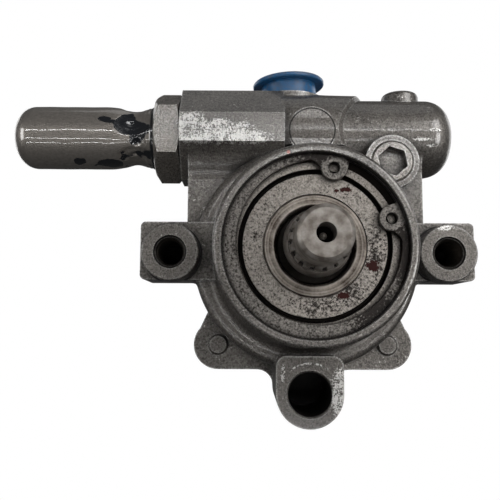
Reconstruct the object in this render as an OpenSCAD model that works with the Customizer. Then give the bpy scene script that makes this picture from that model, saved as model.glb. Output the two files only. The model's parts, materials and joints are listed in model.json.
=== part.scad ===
/* [Ball bearing] */
// Bore of the front ball bearing
bearing_bore = 20; // [19:0.5:22]
// Width of the front ball bearing
bearing_width = 14; // [13:0.5:15]
// How far the bearing's front face stands in front of the mounting plane
bearing_forward = 16; // [15:0.5:17]
// Diameter of one bearing ball
ball_diameter = 7.9; // [7.2:0.1:8.1]
// Number of bearing balls
ball_count = 8; // [6:1:9]

/* [Retaining ring] */
// Thickness of the ring that holds the bearing in
ring_thickness = 1.75; // [1.25:0.25:2]
// Depth of the ring's groove below the bearing bore
ring_groove_depth = 1.25; // [1:0.05:1.5]
// Radial width of the ring beside its gap
ring_thin_width = 2.4; // [2:0.1:2.8]
// Radial width of the ring opposite its gap
ring_thick_width = 4.7; // [4:0.1:5.2]
// Direction of the ring's gap, counted from the right side upwards
ring_gap_angle = 48; // [0:1:90]
// Angle from the middle of the gap to each plier eye
ring_eye_angle = 28.5; // [24:0.5:34]
// Outside diameter of a plier eye
ring_eye_diameter = 6.8; // [6:0.1:7.4]
// Hole in a plier eye
ring_eye_hole = 3.1; // [2:0.1:3.6]

/* [Drive shaft] */
// How far the shaft's tip stands in front of the bearing
shaft_reach = 24.5; // [22:0.5:28]
// Diameter of the plain nose
nose_diameter = 13; // [12:0.5:14]
// Length of the plain nose
nose_length = 9.5; // [8:0.5:10.5]
// Outside diameter of the drive spline
spline_diameter = 15; // [14.6:0.2:15.6]
// Length of the drive spline
spline_length = 5.5; // [4:0.5:6]
// Number of drive spline teeth
spline_teeth = 16; // [12:1:24]
// Depth of the spline teeth
spline_depth = 0.8; // [0.5:0.1:0.9]
// Turn of the drive spline about the shaft
spline_turn = 17.6; // [0:0.1:22.5]
// Diameter of the collar behind the drive spline
collar_diameter = 17; // [16.4:0.2:18]
// Length of the collar's slope
collar_slope = 4; // [3:0.5:5]
// How far the shaft is relieved behind the collar
collar_relief = 1; // [0.5:0.1:1.5]
// Gap between the bearing's front face and the shaft's bearing seat
seat_recess = 3; // [2:0.5:4]
// Diameter of the centre hole in the tip
centre_hole = 4.4; // [4:0.1:5]
// Diameter of the seal land
seal_land_diameter = 19; // [18:0.5:19.5]
// Outside diameter of the rotor spline
rotor_spline_diameter = 15; // [14.5:0.5:16]
// Diameter of the rear journal
journal_diameter = 14; // [13.5:0.5:14.5]

/* [Mounting] */
// Radius of the circle that the three mounting holes lie on
mount_radius = 39; // [38:0.5:41]
// Diameter of the two side pads
side_pad_diameter = 16.2; // [15:0.2:17]
// How far the side pads stand in front of their lugs
side_pad_height = 7; // [5:0.5:8]
// Thread diameter of the two side holes
side_thread = 8; // [8:1:10]
// Depth of the two side holes
side_thread_depth = 18; // [14:1:20]
// Height of a side lug
side_lug_height = 16.9; // [16:0.1:19]
// How far a side lug runs out past its hole
side_lug_overhang = 9.4; // [9:0.2:11]
// Thickness of a side lug behind its pad
side_lug_thickness = 17; // [14:1:20]
// Diameter of the plain hole in the bottom lug
bottom_hole = 12; // [10:0.5:13]
// Depth of the plain hole in the bottom lug
bottom_hole_depth = 26; // [20:1:27]
// Width of the bottom lug
bottom_lug_width = 18.6; // [18:0.2:21]
// Distance from the bottom hole up to the lug's upper edge
bottom_lug_rise = 10.4; // [10:0.2:11]
// Length of the bottom lug along the hole
bottom_lug_length = 30; // [28:1:34]

/* [Housing] */
// Diameter of the pilot boss around the bearing
pilot_diameter = 52.4; // [52:0.2:54]
// Wall of the pilot boss around the bearing
pilot_wall = 2.7; // [2.4:0.1:3.2]
// How far the boss's rim stands in front of the bearing
rim_lip = 3.3; // [3:0.1:4]
// Diameter of the round pump body
body_diameter = 66.6; // [65:0.2:68]
// How far the round body starts behind the mounting plane
body_set_back = 8.8; // [8.6:0.2:10]
// Width of the upper web
web_width = 71; // [70:0.5:74]
// How far the upper web's face lies behind the mounting plane
web_set_back = 13.4; // [12.5:0.1:15]
// Length of the hollow blends from the valve barrel to the web's face
blend_length = 5; // [3:0.5:6]
// Radius of the hollow blends
blend_radius = 17; // [16:0.5:24]
// How much wider the rear flange is than the round body
flange_margin = 1.4; // [0.4:0.1:3.4]
// Rounding of the flange's corner ears, around their bolts
ear_radius = 7.6; // [7:0.2:8.4]
// Length of the flange's corner ears
ear_length = 25; // [22:0.5:27]
// Diameter of the raised disc on the front of each lower ear
ear_disc_diameter = 6.6; // [5:0.2:8]

/* [Flow valve barrel] */
// How far the valve bore's axis lies behind the mounting plane
valve_set_back = 22; // [21:0.5:23]
// Height of the valve bore's axis above the shaft
valve_height = 38.5; // [38:0.1:40]
// Diameter of the valve bore
valve_bore = 17; // [16:0.5:17]
// How far the faceted head stands out past the left edge of the web
head_overhang = 2.5; // [2:0.5:5]
// Place of the step between head and barrel, left of the shaft
head_right = 6.4; // [6:0.2:7]
// Depth of the faceted head, front to back
head_depth = 28; // [27:0.5:30]
// Height of the faceted head
head_height = 28.6; // [28:0.2:30]
// Width of the faceted head's front flat
head_front_flat = 8.8; // [8:0.2:10]
// Width of the faceted head's top flat
head_top_flat = 10; // [9:0.5:11]
// Diameter of the round barrel
barrel_diameter = 24.3; // [24:0.1:27]
// Place of the barrel's closed end, right of the shaft
barrel_right = 45.8; // [44:0.2:50]
// Rounding of the barrel's closed end
barrel_end_radius = 8; // [5:0.5:9]
// Diameter of the small boss on top of the barrel
top_boss_diameter = 11.5; // [10:0.5:12.5]
// Height of the small boss above the barrel
top_boss_height = 2.6; // [1.5:0.1:3.5]
// Diameter of the bare disc on the barrel's front
front_disc_diameter = 14.6; // [12:0.2:16]

/* [Ports and plugs] */
// Place of the inlet, left of the shaft
inlet_left = 3.9; // [3:0.1:5]
// How far the inlet's axis lies behind the mounting plane
inlet_set_back = 28; // [27:0.5:29]
// Diameter of the inlet bore
inlet_bore = 18; // [17:0.2:18.4]
// Wall of the inlet boss
inlet_wall = 2.6; // [2:0.1:3.2]
// Diameter of the inlet plug's flange
plug_flange_diameter = 23.2; // [22:0.2:25]
// Thickness of the inlet plug's flange
plug_flange_thickness = 1.4; // [1.2:0.1:2]
// Gap between the inlet boss and the plug's flange
plug_stand_off = 4.9; // [4:0.1:6]
// Lean of the inlet plug to the left
plug_lean = 3; // [0:0.5:3]
// Place of the gallery plug, right of the shaft
gallery_right = 25.6; // [25:0.1:27]
// Height of the gallery plug above the shaft
gallery_height = 28.3; // [27.5:0.1:29]
// Diameter of the gallery plug
gallery_plug_diameter = 12.6; // [11.6:0.2:13]
// Width across the flats of the gallery plug's socket
gallery_socket = 8; // [6:0.5:8]
// Diameter of the gallery plug's boss
gallery_boss_diameter = 16; // [15.6:0.2:17]
// Diameter of the drilling behind the gallery plug
gallery_drill = 5; // [4:0.5:6]
// Place of the drilling behind the gallery plug, above the plug's axis
gallery_drill_rise = 3; // [2:0.5:3.5]
// Place of the bypass drilling under the valve bore, left of the shaft
bypass_left = 12; // [11:0.5:13]
// Diameter of the bypass drilling
bypass_diameter = 8; // [7:0.5:9]

/* [Outlet fitting and dust cap] */
// Width across the flats of the fitting's hexagon
hex_width = 25; // [24:0.5:26]
// Length of the fitting's hexagon
hex_length = 8.1; // [6:0.1:9]
// Turn of the hexagon about its axis
hex_turn = 31; // [0:0.5:60]
// Length of the fitting outside the hexagon
fitting_reach = 25; // [22:0.5:28]
// Diameter of the fitting's head
fitting_head_diameter = 16.6; // [15.6:0.2:16.8]
// Diameter of the fitting's neck
fitting_neck_diameter = 9.6; // [9:0.2:10]
// Bore of the fitting
fitting_bore = 6; // [5:0.5:7]
// Outside diameter of the soft dust cap
cap_diameter = 19.6; // [19.4:0.2:21]
// Length of the soft dust cap
cap_length = 44.2; // [42:0.2:50]
// Wall of the soft dust cap
cap_wall = 1.3; // [1:0.1:1.4]
// Rounding of the dust cap's closed end
cap_end_radius = 6.5; // [4:0.5:8]
// How far the cap's neck has sunk in all round
cap_neck_depth = 0.9; // [0:0.1:1]
// Depth of the dents pressed into the cap's neck
cap_dent_depth = 1.3; // [0.5:0.1:1.4]

/* [Pumping set] */
// Diameter of the pump cavity
cavity_diameter = 54; // [53:0.5:55]
// Thickness of the front thrust plate
thrust_plate_thickness = 6; // [5:0.5:7]
// Width of the cam ring
cam_width = 17; // [15:0.5:18]
// Wall of the cam ring where its bore is smallest
cam_wall = 6.6; // [6:0.1:7]
// Stroke of the cam ring's two lobes
cam_stroke = 1.7; // [1.2:0.1:1.9]
// Thickness of the pressure plate
pressure_plate_thickness = 6; // [5:0.5:7]
// Number of vanes that the rotor carries
vane_slots = 10; // [10:1:10]
// Thickness of a vane
vane_thickness = 1.6; // [1.4:0.1:1.8]
// Radial length of a vane
vane_length = 6.2; // [5.6:0.1:6.4]
// Height of the dished spring behind the pressure plate
plate_spring_height = 4; // [3.5:0.25:4.5]
// Diameter of the two dowel pins
dowel_diameter = 3; // [2.5:0.25:3.2]

/* [Rear cover] */
// Thickness of the rear cover's plate
cover_thickness = 10; // [8:0.5:12]
// Length of the cover's spigot in the pump cavity
cover_spigot = 3; // [3:0.25:4]
// Height of the cover's middle boss
cover_boss_height = 5; // [4:0.5:7]
// Diameter of the cover bolts
cover_bolt = 8; // [6:1:8]
// How deep the cover bolts go into the ears
cover_bolt_grip = 14; // [12:0.5:15]
// Width across the flats of a cover bolt's head
cover_bolt_head = 13; // [10:0.5:13]

/* [Flow control valve] */
// Length of the flow control spool
spool_length = 32; // [30:0.5:34]
// Travel of the flow control spool
spool_travel = 8; // [5:0.5:9]
// Wire of the flow control spring
flow_wire = 1.5; // [1.2:0.1:1.7]
// Turns of the flow control spring
flow_turns = 9; // [7:0.5:10]
// Diameter of the relief ball
relief_ball_diameter = 4.4; // [4:0.1:5]
// Turns of the relief spring
relief_turns = 5; // [4:0.5:6]

/* [Hidden] */
$fn = 64;

// Finishes
cast_grey = "#5a5550";
bare_steel = "#9a9894";
dark_steel = "#6a6866";
rubber_black = "#1c1c1c";
bronze = "#a98a52";
cap_grey = "#4c4a48";
plug_blue = "#2f6fae";

// Fits and overlaps shared by all pieces
fit = 0.05;
run = 0.03;
loose = 0.3;
side_play = 0.15;
past = 1;

// Depths along the pump axis, zero at the mounting plane and growing to the rear
bearing_front = -bearing_forward;
bearing_rear = bearing_front + bearing_width;
bearing_middle = bearing_front + bearing_width / 2;
rim_front = bearing_front - rim_lip;
tip_front = bearing_front - shaft_reach;
seal_width = 7;
seal_front = bearing_rear + 0.5;
seal_rear = seal_front + seal_width;
front_wall = 8.5;
cavity_front = seal_rear + front_wall;
cam_front = cavity_front + thrust_plate_thickness;
cam_rear = cam_front + cam_width;
plate_rear = cam_rear + pressure_plate_thickness;
spigot_front = plate_rear + plate_spring_height;
rear_face = spigot_front + cover_spigot;
ear_front = rear_face - ear_length;
cover_back = rear_face + cover_thickness;

// Radii on the pump axis
pilot_r = pilot_diameter / 2;
bearing_r = pilot_r - pilot_wall;
body_r = body_diameter / 2;
cavity_r = cavity_diameter / 2;
set_r = cavity_r - loose;
cam_small_radius = set_r - cam_wall;
flange_width = body_diameter + flange_margin;
cover_bolt_offset = flange_width / 2 - ear_radius;
seal_r = bearing_r - 5.5;
shoulder_r = bearing_bore / 2 + 1.5;
land_r = seal_land_diameter / 2;
ball_r = ball_diameter / 2;
pitch_r = bearing_bore / 4 + bearing_r / 2;
groove_r = ball_r + 0.15;
race_step = ball_r - 1.15;
outer_land_r = pitch_r + race_step;
inner_land_r = pitch_r - race_step;
shield_outer_r = outer_land_r - 0.12;
shield_inner_r = inner_land_r - 0.65;
inner_step_r = shield_inner_r - 0.3;
shield_thickness = 0.6;
shield_set_in = 0.3;
shield_groove = 0.9;
rotor_r = cam_small_radius - 0.5;
journal_r = journal_diameter / 2;
bush_wall = 1.5;
bush_r = journal_r + bush_wall;
bush_length = 10;

// Flow valve places
head_left = web_width / 2 + head_overhang;
valve_y = valve_set_back;
valve_z = valve_height;
barrel_r = barrel_diameter / 2;
valve_r = valve_bore / 2;
valve_end = barrel_right - 8.4;
counter_r = valve_r + 1.7;
counter_end = -head_left + 15.5;
nozzle_end = counter_end + 3;
spool_left = nozzle_end + loose;
spool_right = spool_left + spool_length;
spool_r = valve_r - run;
pocket_r = spool_r - 2.3;
pocket_left = spool_right - 8;
relief_r = relief_ball_diameter / 2;
relief_bore_r = relief_r + 0.9;
relief_seat_left = pocket_left - 4;
relief_ball_x = relief_seat_left - relief_r;
relief_bore_left = relief_ball_x - relief_r - 9;
flow_coil_r = pocket_r - 0.5 - flow_wire / 2;

// Outlet fitting and cap places
hex_left = -head_left - hex_length;
fitting_left = hex_left - fitting_reach;
head_length = 11.5;
cap_right = hex_left - 0.1;
cap_left = cap_right - cap_length;
cap_r = cap_diameter / 2;
cap_neck_right = hex_left - 1.2;
cap_neck_left = hex_left - 12;
cap_neck_middle = (cap_neck_left + cap_neck_right) / 2;
dent_ball_r = 6;

// Inlet places
inlet_x = -inlet_left;
inlet_y = inlet_set_back;
inlet_top = valve_z + head_height / 2;
inlet_boss_r = inlet_bore / 2 + inlet_wall;
inlet_floor = valve_z + valve_r + 1.9;
suction_r = 2.8;
suction_y = valve_y + valve_r + 1.5 + suction_r;

// Gallery plug places
gallery_face = valve_y - barrel_r - 1.2;
gallery_depth = 4.6;
gallery_socket_depth = gallery_depth - 2.2;

// Extrudes a front-view outline, X across and Z up, between two depths
module slab(front_y, back_y) {
    translate([0, back_y, 0])
        rotate([90, 0, 0])
            linear_extrude(back_y - front_y)
                children();
}

// Turns a profile of radius and depth about the pump axis
module turned() {
    rotate([-90, 0, 0])
        rotate_extrude()
            children();
}

// A ring about the pump axis
module collar(inner_r, outer_r, front_y, back_y) {
    turned()
        translate([inner_r, front_y])
            square([outer_r - inner_r, back_y - front_y]);
}

// A round rod along the depth, at a place in the front view
module rod(r, front_y, back_y, x = 0, z = 0) {
    translate([x, front_y, z])
        rotate([-90, 0, 0])
            cylinder(r = r, h = back_y - front_y);
}

// A round taper along the depth
module taper(front_r, back_r, front_y, back_y, x = 0, z = 0) {
    translate([x, front_y, z])
        rotate([-90, 0, 0])
            cylinder(r1 = front_r, r2 = back_r, h = back_y - front_y);
}

// Extrudes a side-view section, Y across and Z up, between two places along X
module bar(left_x, right_x) {
    translate([left_x, 0, 0])
        rotate([90, 0, 90])
            linear_extrude(right_x - left_x)
                children();
}

// Turns a profile of radius and place about the valve axis
module valve_turned() {
    translate([0, valve_y, valve_z])
        rotate([0, 90, 0])
            rotate_extrude()
                children();
}

// A ring about the valve axis
module valve_collar(inner_r, outer_r, left_x, right_x) {
    valve_turned()
        translate([inner_r, left_x])
            square([outer_r - inner_r, right_x - left_x]);
}

// A rectangle with round corners about its middle
module rounded_rectangle(width, height, r) {
    square([width - 2 * r, height], center = true);
    square([width, height - 2 * r], center = true);
    for (x = [-1, 1])
        for (z = [-1, 1])
            translate([x * (width / 2 - r), z * (height / 2 - r)])
                circle(r);
}

// A half profile with one rounded outer corner at its near end
module rounded_end_profile(r, near, far, corner) {
    translate([0, near])
        square([r - corner, far - near]);
    translate([0, near + corner])
        square([r, far - near - corner]);
    inside = min(corner, r - corner) / 2;
    translate([r - corner, near + corner])
        intersection() {
            circle(corner);
            translate([-inside, -corner])
                square([corner + inside, corner + inside]);
        }
}

// A sector of the front view that starts at the axis
module sector(from_angle, to_angle, r) {
    middle = (from_angle + to_angle) / 2;
    polygon([
        [0, 0],
        [r * cos(from_angle), r * sin(from_angle)],
        [r * cos(middle), r * sin(middle)] * 1.1,
        [r * cos(to_angle), r * sin(to_angle)]
    ]);
}

// A kidney-shaped port outline between two radii and two angles
module kidney(inner_r, outer_r, from_angle, to_angle) {
    intersection() {
        difference() {
            circle(outer_r);
            circle(inner_r);
        }
        sector(from_angle, to_angle, 2 * outer_r);
    }
}

// A toothed outline: a round core with straight-flanked teeth
module spline_outline(root_r, tip_r, teeth, tooth_root, tooth_tip) {
    intersection() {
        circle(tip_r);
        union() {
            circle(root_r);
            for (tooth = [0 : teeth - 1])
                rotate(tooth * 360 / teeth)
                    polygon([
                        [root_r * 0.8, -tooth_root / 2],
                        [tip_r * 1.02, -tooth_tip / 2],
                        [tip_r * 1.02, tooth_tip / 2],
                        [root_r * 0.8, tooth_root / 2]
                    ]);
        }
    }
}

// One point of a wire's round section along a coil about the Z axis
function coil_point(t, side, sides, coil_r, wire_r, turns, rise) =
    let (
        a = 360 * turns * t,
        b = 360 * side / sides,
        r = coil_r + wire_r * cos(b)
    )
    [r * cos(a), r * sin(a), rise * t + wire_r * sin(b)];

// A coil spring that stands on the origin along Z
module coil(coil_r, wire_r, turns, height, sides = 6, steps_per_turn = 14) {
    steps = ceil(turns * steps_per_turn);
    rise = height - 2 * wire_r;
    points = [
        for (step = [0 : steps])
            for (side = [0 : sides - 1])
                coil_point(step / steps, side, sides, coil_r, wire_r, turns, rise)
    ];
    walls = [
        for (step = [0 : steps - 1])
            for (side = [0 : sides - 1])
                let (
                    a = step * sides + side,
                    b = step * sides + (side + 1) % sides
                )
                each [[a, a + sides, b], [b, a + sides, b + sides]]
    ];
    start = [[for (side = [0 : sides - 1]) side]];
    finish = [[for (side = [sides - 1 : -1 : 0]) steps * sides + side]];
    translate([0, 0, wire_r])
        polyhedron(points, concat(walls, start, finish));
}

// Pilot boss: straight pilot, then a draft and a hollow corner into the round body
module pilot_boss() {
    edge = 1.3;
    draft = 1;
    hollow = 2.6;
    foot_r = pilot_r + draft;
    turned() {
        rounded_end_profile(pilot_r, rim_front, body_set_back, edge);
        polygon([
            [0, 0.2],
            [pilot_r, 0.2],
            [foot_r, body_set_back - hollow],
            [foot_r, body_set_back + past],
            [0, body_set_back + past]
        ]);
        difference() {
            translate([foot_r - past, body_set_back - hollow])
                square([hollow + past, hollow + past]);
            translate([foot_r + hollow, body_set_back - hollow])
                circle(hollow);
        }
    }
}

// Round pump body with a rounded front edge
module round_body() {
    turned()
        rounded_end_profile(body_r, body_set_back, ear_front + 6, 2.4);
}

// Web that carries the valve barrel on the body
module upper_web() {
    slab(web_set_back, valve_y + head_depth / 2)
        translate([-web_width / 2, 0])
            square([web_width, valve_z]);
}

// Outline of the flange: the round body, a straight top and bottom, and four corner ears
module flange_outline() {
    reach = cover_bolt_offset;
    circle(body_r);
    square([2 * reach, flange_width], center = true);
    for (x = [-1, 1])
        for (z = [-1, 1]) {
            translate([x * reach, z * reach])
                circle(ear_radius);
            polygon([
                [x * (reach + 0.743 * ear_radius), z * (reach - 0.669 * ear_radius)],
                [x * body_r * cos(28), z * body_r * sin(28)],
                [x * reach / 2, z * reach / 2],
                [x * reach, z * reach]
            ]);
        }
}

// Flange that the rear cover bolts onto, with a raised disc on each lower ear
module rear_flange() {
    disc_r = ear_disc_diameter / 2;
    slab(ear_front, rear_face)
        flange_outline();
    for (side = [-1, 1]) {
        place = side * cover_bolt_offset;
        rod(disc_r, ear_front, ear_front + past, place, -cover_bolt_offset);
        taper(disc_r - 0.7, disc_r, ear_front - 1, ear_front, place, -cover_bolt_offset);
    }
}

// Hollow corners between the flange's straight bottom and the bottom lug
module lug_fillets() {
    corner = 5;
    half = bottom_lug_width / 2;
    bottom = flange_width / 2;
    for (side = [-1, 1])
        slab(ear_front, bottom_lug_length)
            difference() {
                translate([side * (half + corner / 2), -bottom - corner / 2 + past / 2])
                    square([corner + past, corner + past], center = true);
                translate([side * (half + corner), -bottom - corner])
                    circle(corner);
            }
}

// Side lug with its proud round pad and a hollow corner to the body below it
module side_lug(side) {
    inner = body_r - 12;
    outer = mount_radius + side_lug_overhang;
    corner = 1.5;
    middle = 1.05;
    hollow = 3;
    lug_bottom = side_lug_height / 2 - middle;
    hollow_z = lug_bottom + hollow;
    hollow_x = sqrt(pow(body_r + hollow, 2) - pow(hollow_z, 2));
    touch = body_r / (body_r + hollow);
    back = side_pad_height + side_lug_thickness;
    slab(side_pad_height, back)
        translate([side * (inner + outer) / 2, middle])
            rounded_rectangle(outer - inner, side_lug_height, corner);
    slab(body_set_back + 3, back)
        difference() {
            polygon([
                [side * inner, 0],
                [side * hollow_x, -lug_bottom + 0.5],
                [side * hollow_x, -hollow_z],
                [side * hollow_x * touch, -hollow_z * touch]
            ]);
            translate([side * hollow_x, -hollow_z])
                circle(hollow);
        }
    translate([side * mount_radius, 0, 0])
        turned()
            rounded_end_profile(side_pad_diameter / 2, 0, side_pad_height + past, 0.5);
}

// Bottom lug, a rounded tongue around its deep hole
module bottom_lug() {
    half = bottom_lug_width / 2;
    corner = 3;
    slab(0, bottom_lug_length)
        translate([0, -mount_radius]) {
            circle(half);
            translate([-half, 0])
                square([bottom_lug_width, bottom_lug_rise - corner]);
            translate([-half + corner, 0])
                square([bottom_lug_width - 2 * corner, bottom_lug_rise]);
            for (side = [-1, 1])
                translate([side * (half - corner), bottom_lug_rise - corner])
                    circle(corner);
        }
}

// Faceted head of the valve barrel
module barrel_head() {
    bar(-head_left, -head_right)
        translate([valve_y, valve_z])
            polygon([
                [-head_depth, -head_front_flat] / 2,
                [-head_depth, head_front_flat] / 2,
                [-head_top_flat, head_height] / 2,
                [head_top_flat, head_height] / 2,
                [head_depth, head_front_flat] / 2,
                [head_depth, -head_front_flat] / 2,
                [head_top_flat, -head_height] / 2,
                [-head_top_flat, -head_height] / 2
            ]);
}

// Hollow blend that runs from a point on the valve barrel, seen along its axis, down to the web's face
module hollow_blend(left_x, right_x, corner, upper) {
    lower = [corner[0] + 0.05, corner[1] - blend_length];
    chord = upper - lower;
    half = norm(chord) / 2;
    away = [-chord[1], chord[0]] / norm(chord);
    bar(left_x, right_x)
        translate([valve_y, valve_z])
            difference() {
                polygon([upper, lower, corner + [3, 1]]);
                translate((upper + lower) / 2 + away * sqrt(pow(blend_radius, 2) - pow(half, 2)))
                    circle(blend_radius);
            }
}

// Blends under the faceted head and under the round barrel
module web_blends() {
    face = web_set_back - valve_y;
    front = [-head_depth, -head_front_flat] / 2;
    bottom = [-head_top_flat, -head_height] / 2;
    corner = front + (bottom - front) * (face - front[0]) / (bottom[0] - front[0]);
    up = (front - bottom) / norm(front - bottom);
    hollow_blend(-web_width / 2, -head_right - 0.5, corner, corner + blend_length * up + [0.05, 0.05]);
    angle = acos(-face / barrel_r);
    rise = angle - blend_length / barrel_r * 180 / PI;
    under = [face, -barrel_r * sin(angle)];
    hollow_blend(-head_right - 0.2, web_width / 2, under, (barrel_r - 0.05) * [-cos(rise), -sin(rise)]);
}

// Round part of the valve barrel with its bosses
module barrel_body() {
    translate([barrel_right, valve_y, valve_z])
        rotate([0, -90, 0])
            rotate_extrude()
                rounded_end_profile(barrel_r, 0, barrel_right + head_right + past, barrel_end_radius);
    boss_x = barrel_right - 14.7;
    boss_top = valve_z + barrel_r + top_boss_height;
    translate([boss_x, valve_y, valve_z])
        rotate_extrude()
            rotate(180)
                mirror([1, 0])
                    rounded_end_profile(top_boss_diameter / 2, valve_z - boss_top, 0, 1.4);
    rod(front_disc_diameter / 2, valve_y - barrel_r - 0.8, valve_y - past, 1.8, valve_z - 0.7);
    rod(gallery_boss_diameter / 2, gallery_face, web_set_back + past, gallery_right, gallery_height);
}

// Upright boss around the inlet, with a hollow skirt down onto the barrel
module inlet_boss() {
    bottom = valve_z - 10;
    drop = inlet_top - valve_z - barrel_r;
    translate([inlet_x, inlet_y, bottom])
        cylinder(r = inlet_boss_r, h = inlet_top - bottom);
    intersection() {
        translate([inlet_x, inlet_y, inlet_top])
            rotate_extrude()
                polygon([
                    [0, -0.3],
                    [inlet_boss_r, -0.3],
                    [inlet_boss_r + 0.8, -0.35 * drop],
                    [inlet_boss_r + 2.2, -0.6 * drop],
                    [inlet_boss_r + 4.6, -0.8 * drop],
                    [inlet_boss_r + 8, -0.92 * drop],
                    [inlet_boss_r + 12, -drop],
                    [inlet_boss_r + 12, -valve_z / 2],
                    [0, -valve_z / 2]
                ]);
        bar(-head_right - past, barrel_right - 20)
            translate([valve_y + 1, valve_z])
                circle(barrel_r + drop);
    }
}

// Bores along the pump axis
module pump_bores() {
    rod(bearing_r + fit, rim_front - past, bearing_rear);
    taper(bearing_r + fit + 1, bearing_r + fit, rim_front - 0.5, rim_front + 0.5);
    rod(bearing_r + ring_groove_depth, bearing_front - ring_thickness - fit, bearing_front + fit);
    rod(seal_r + fit, bearing_rear - past, seal_rear + fit);
    rod(seal_r - 4.5, seal_rear - past, seal_rear + 2);
    rod(land_r + loose, seal_rear, cavity_front + past);
    rod(cavity_r, cavity_front, rear_face + past);
}

// Holes that the pump is mounted by
module mount_holes() {
    thread_r = side_thread / 2;
    for (side = [-1, 1]) {
        rod(thread_r, -past, side_thread_depth, side * mount_radius);
        taper(thread_r, 0, side_thread_depth, side_thread_depth + 0.6 * thread_r, side * mount_radius);
        taper(thread_r + 1.7, thread_r, -past, 0.7, side * mount_radius);
    }
    rod(bottom_hole / 2, -past, bottom_hole_depth, 0, -mount_radius);
    taper(bottom_hole / 2 + 1.5, bottom_hole / 2, -past, 0.5, 0, -mount_radius);
    scallop_r = mount_radius - pilot_r + 0.7;
    rod(scallop_r, rim_front - past, -0.4, 0, -mount_radius);
}

// Bores of the flow valve, its passages and the inlet
module valve_bores() {
    valve_collar(0, valve_r, counter_end - past, valve_end);
    valve_collar(0, counter_r, -head_left - past, counter_end);
    translate([inlet_x, inlet_y, inlet_floor])
        cylinder(r = inlet_bore / 2, h = inlet_top - inlet_floor + past);
    translate([inlet_x, suction_y, 0])
        cylinder(r = suction_r, h = inlet_floor + past);
    translate([-bypass_left, valve_y + bypass_diameter / 4, 0])
        cylinder(r = bypass_diameter / 2, h = valve_z);
    plug_r = gallery_plug_diameter / 2 + fit;
    rod(plug_r, gallery_face - past, gallery_face + gallery_depth, gallery_right, gallery_height);
    rod(gallery_drill / 2, gallery_face, valve_y, gallery_right, gallery_height + gallery_drill_rise);
}

// Places one child at each cover bolt
module at_cover_bolts() {
    for (x = [-1, 1])
        for (z = [-1, 1])
            translate([x * cover_bolt_offset, 0, z * cover_bolt_offset])
                children();
}

// Threaded holes for the cover bolts
module cover_bolt_holes() {
    floor_y = rear_face - cover_bolt_grip - 1;
    at_cover_bolts()
        rod(cover_bolt / 2 + fit, floor_y, rear_face + past);
}

// Cast pump housing
module housing() {
    color(cast_grey)
        difference() {
            union() {
                pilot_boss();
                round_body();
                upper_web();
                rear_flange();
                side_lug(-1);
                side_lug(1);
                bottom_lug();
                lug_fillets();
                barrel_head();
                barrel_body();
                web_blends();
                inlet_boss();
            }
            pump_bores();
            mount_holes();
            valve_bores();
            cover_bolt_holes();
        }
}

// Cast rear cover with a spigot, a middle boss and four ribs
module rear_cover() {
    boss_r = bush_r + 5;
    boss_back = cover_back + cover_boss_height;
    rib_reach = cover_bolt_offset - 4.5;
    groove = 1.6;
    color(cast_grey)
        difference() {
            union() {
                slab(rear_face, cover_back)
                    flange_outline();
                rod(cavity_r - loose / 3, spigot_front, rear_face + past);
                rod(boss_r, cover_back - past, boss_back - 1);
                taper(boss_r, boss_r - 1, boss_back - 1, boss_back);
                for (angle = [45, 135])
                    slab(cover_back - past, cover_back + cover_boss_height / 2)
                        rotate(angle)
                            square([2 * rib_reach, 4.4], center = true);
            }
            rod(bush_r + fit, spigot_front - past, spigot_front + bush_length + 2);
            collar(cavity_r - groove, cavity_r + past, spigot_front + 0.8, spigot_front + 0.8 + groove);
            at_cover_bolts()
                rod(cover_bolt / 2 + loose, rear_face - past, cover_back + past);
        }
}

// One flanged hexagon bolt on the pump axis
module cover_bolt_solid() {
    washer = 1.5;
    head = 5;
    corner_r = cover_bolt_head / sqrt(3);
    rod(cover_bolt / 2, rear_face - cover_bolt_grip, cover_back + past);
    taper(corner_r - 0.4, corner_r - 0.7, cover_back, cover_back + washer);
    intersection() {
        slab(cover_back, cover_back + washer + head)
            circle(corner_r, $fn = 6);
        turned()
            polygon([
                [0, cover_back],
                [corner_r + 0.1, cover_back],
                [corner_r + 0.1, cover_back + washer + head - 0.9],
                [corner_r - 1.4, cover_back + washer + head],
                [0, cover_back + washer + head]
            ]);
    }
}

// Four bolts that hold the rear cover
module rear_cover_bolts() {
    color(dark_steel)
        at_cover_bolts()
            cover_bolt_solid();
}

// Seal ring in the cover's spigot groove
module cover_o_ring() {
    color(rubber_black)
        turned()
            translate([cavity_r - 0.8, spigot_front + 1.6])
                circle(0.72);
}

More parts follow.
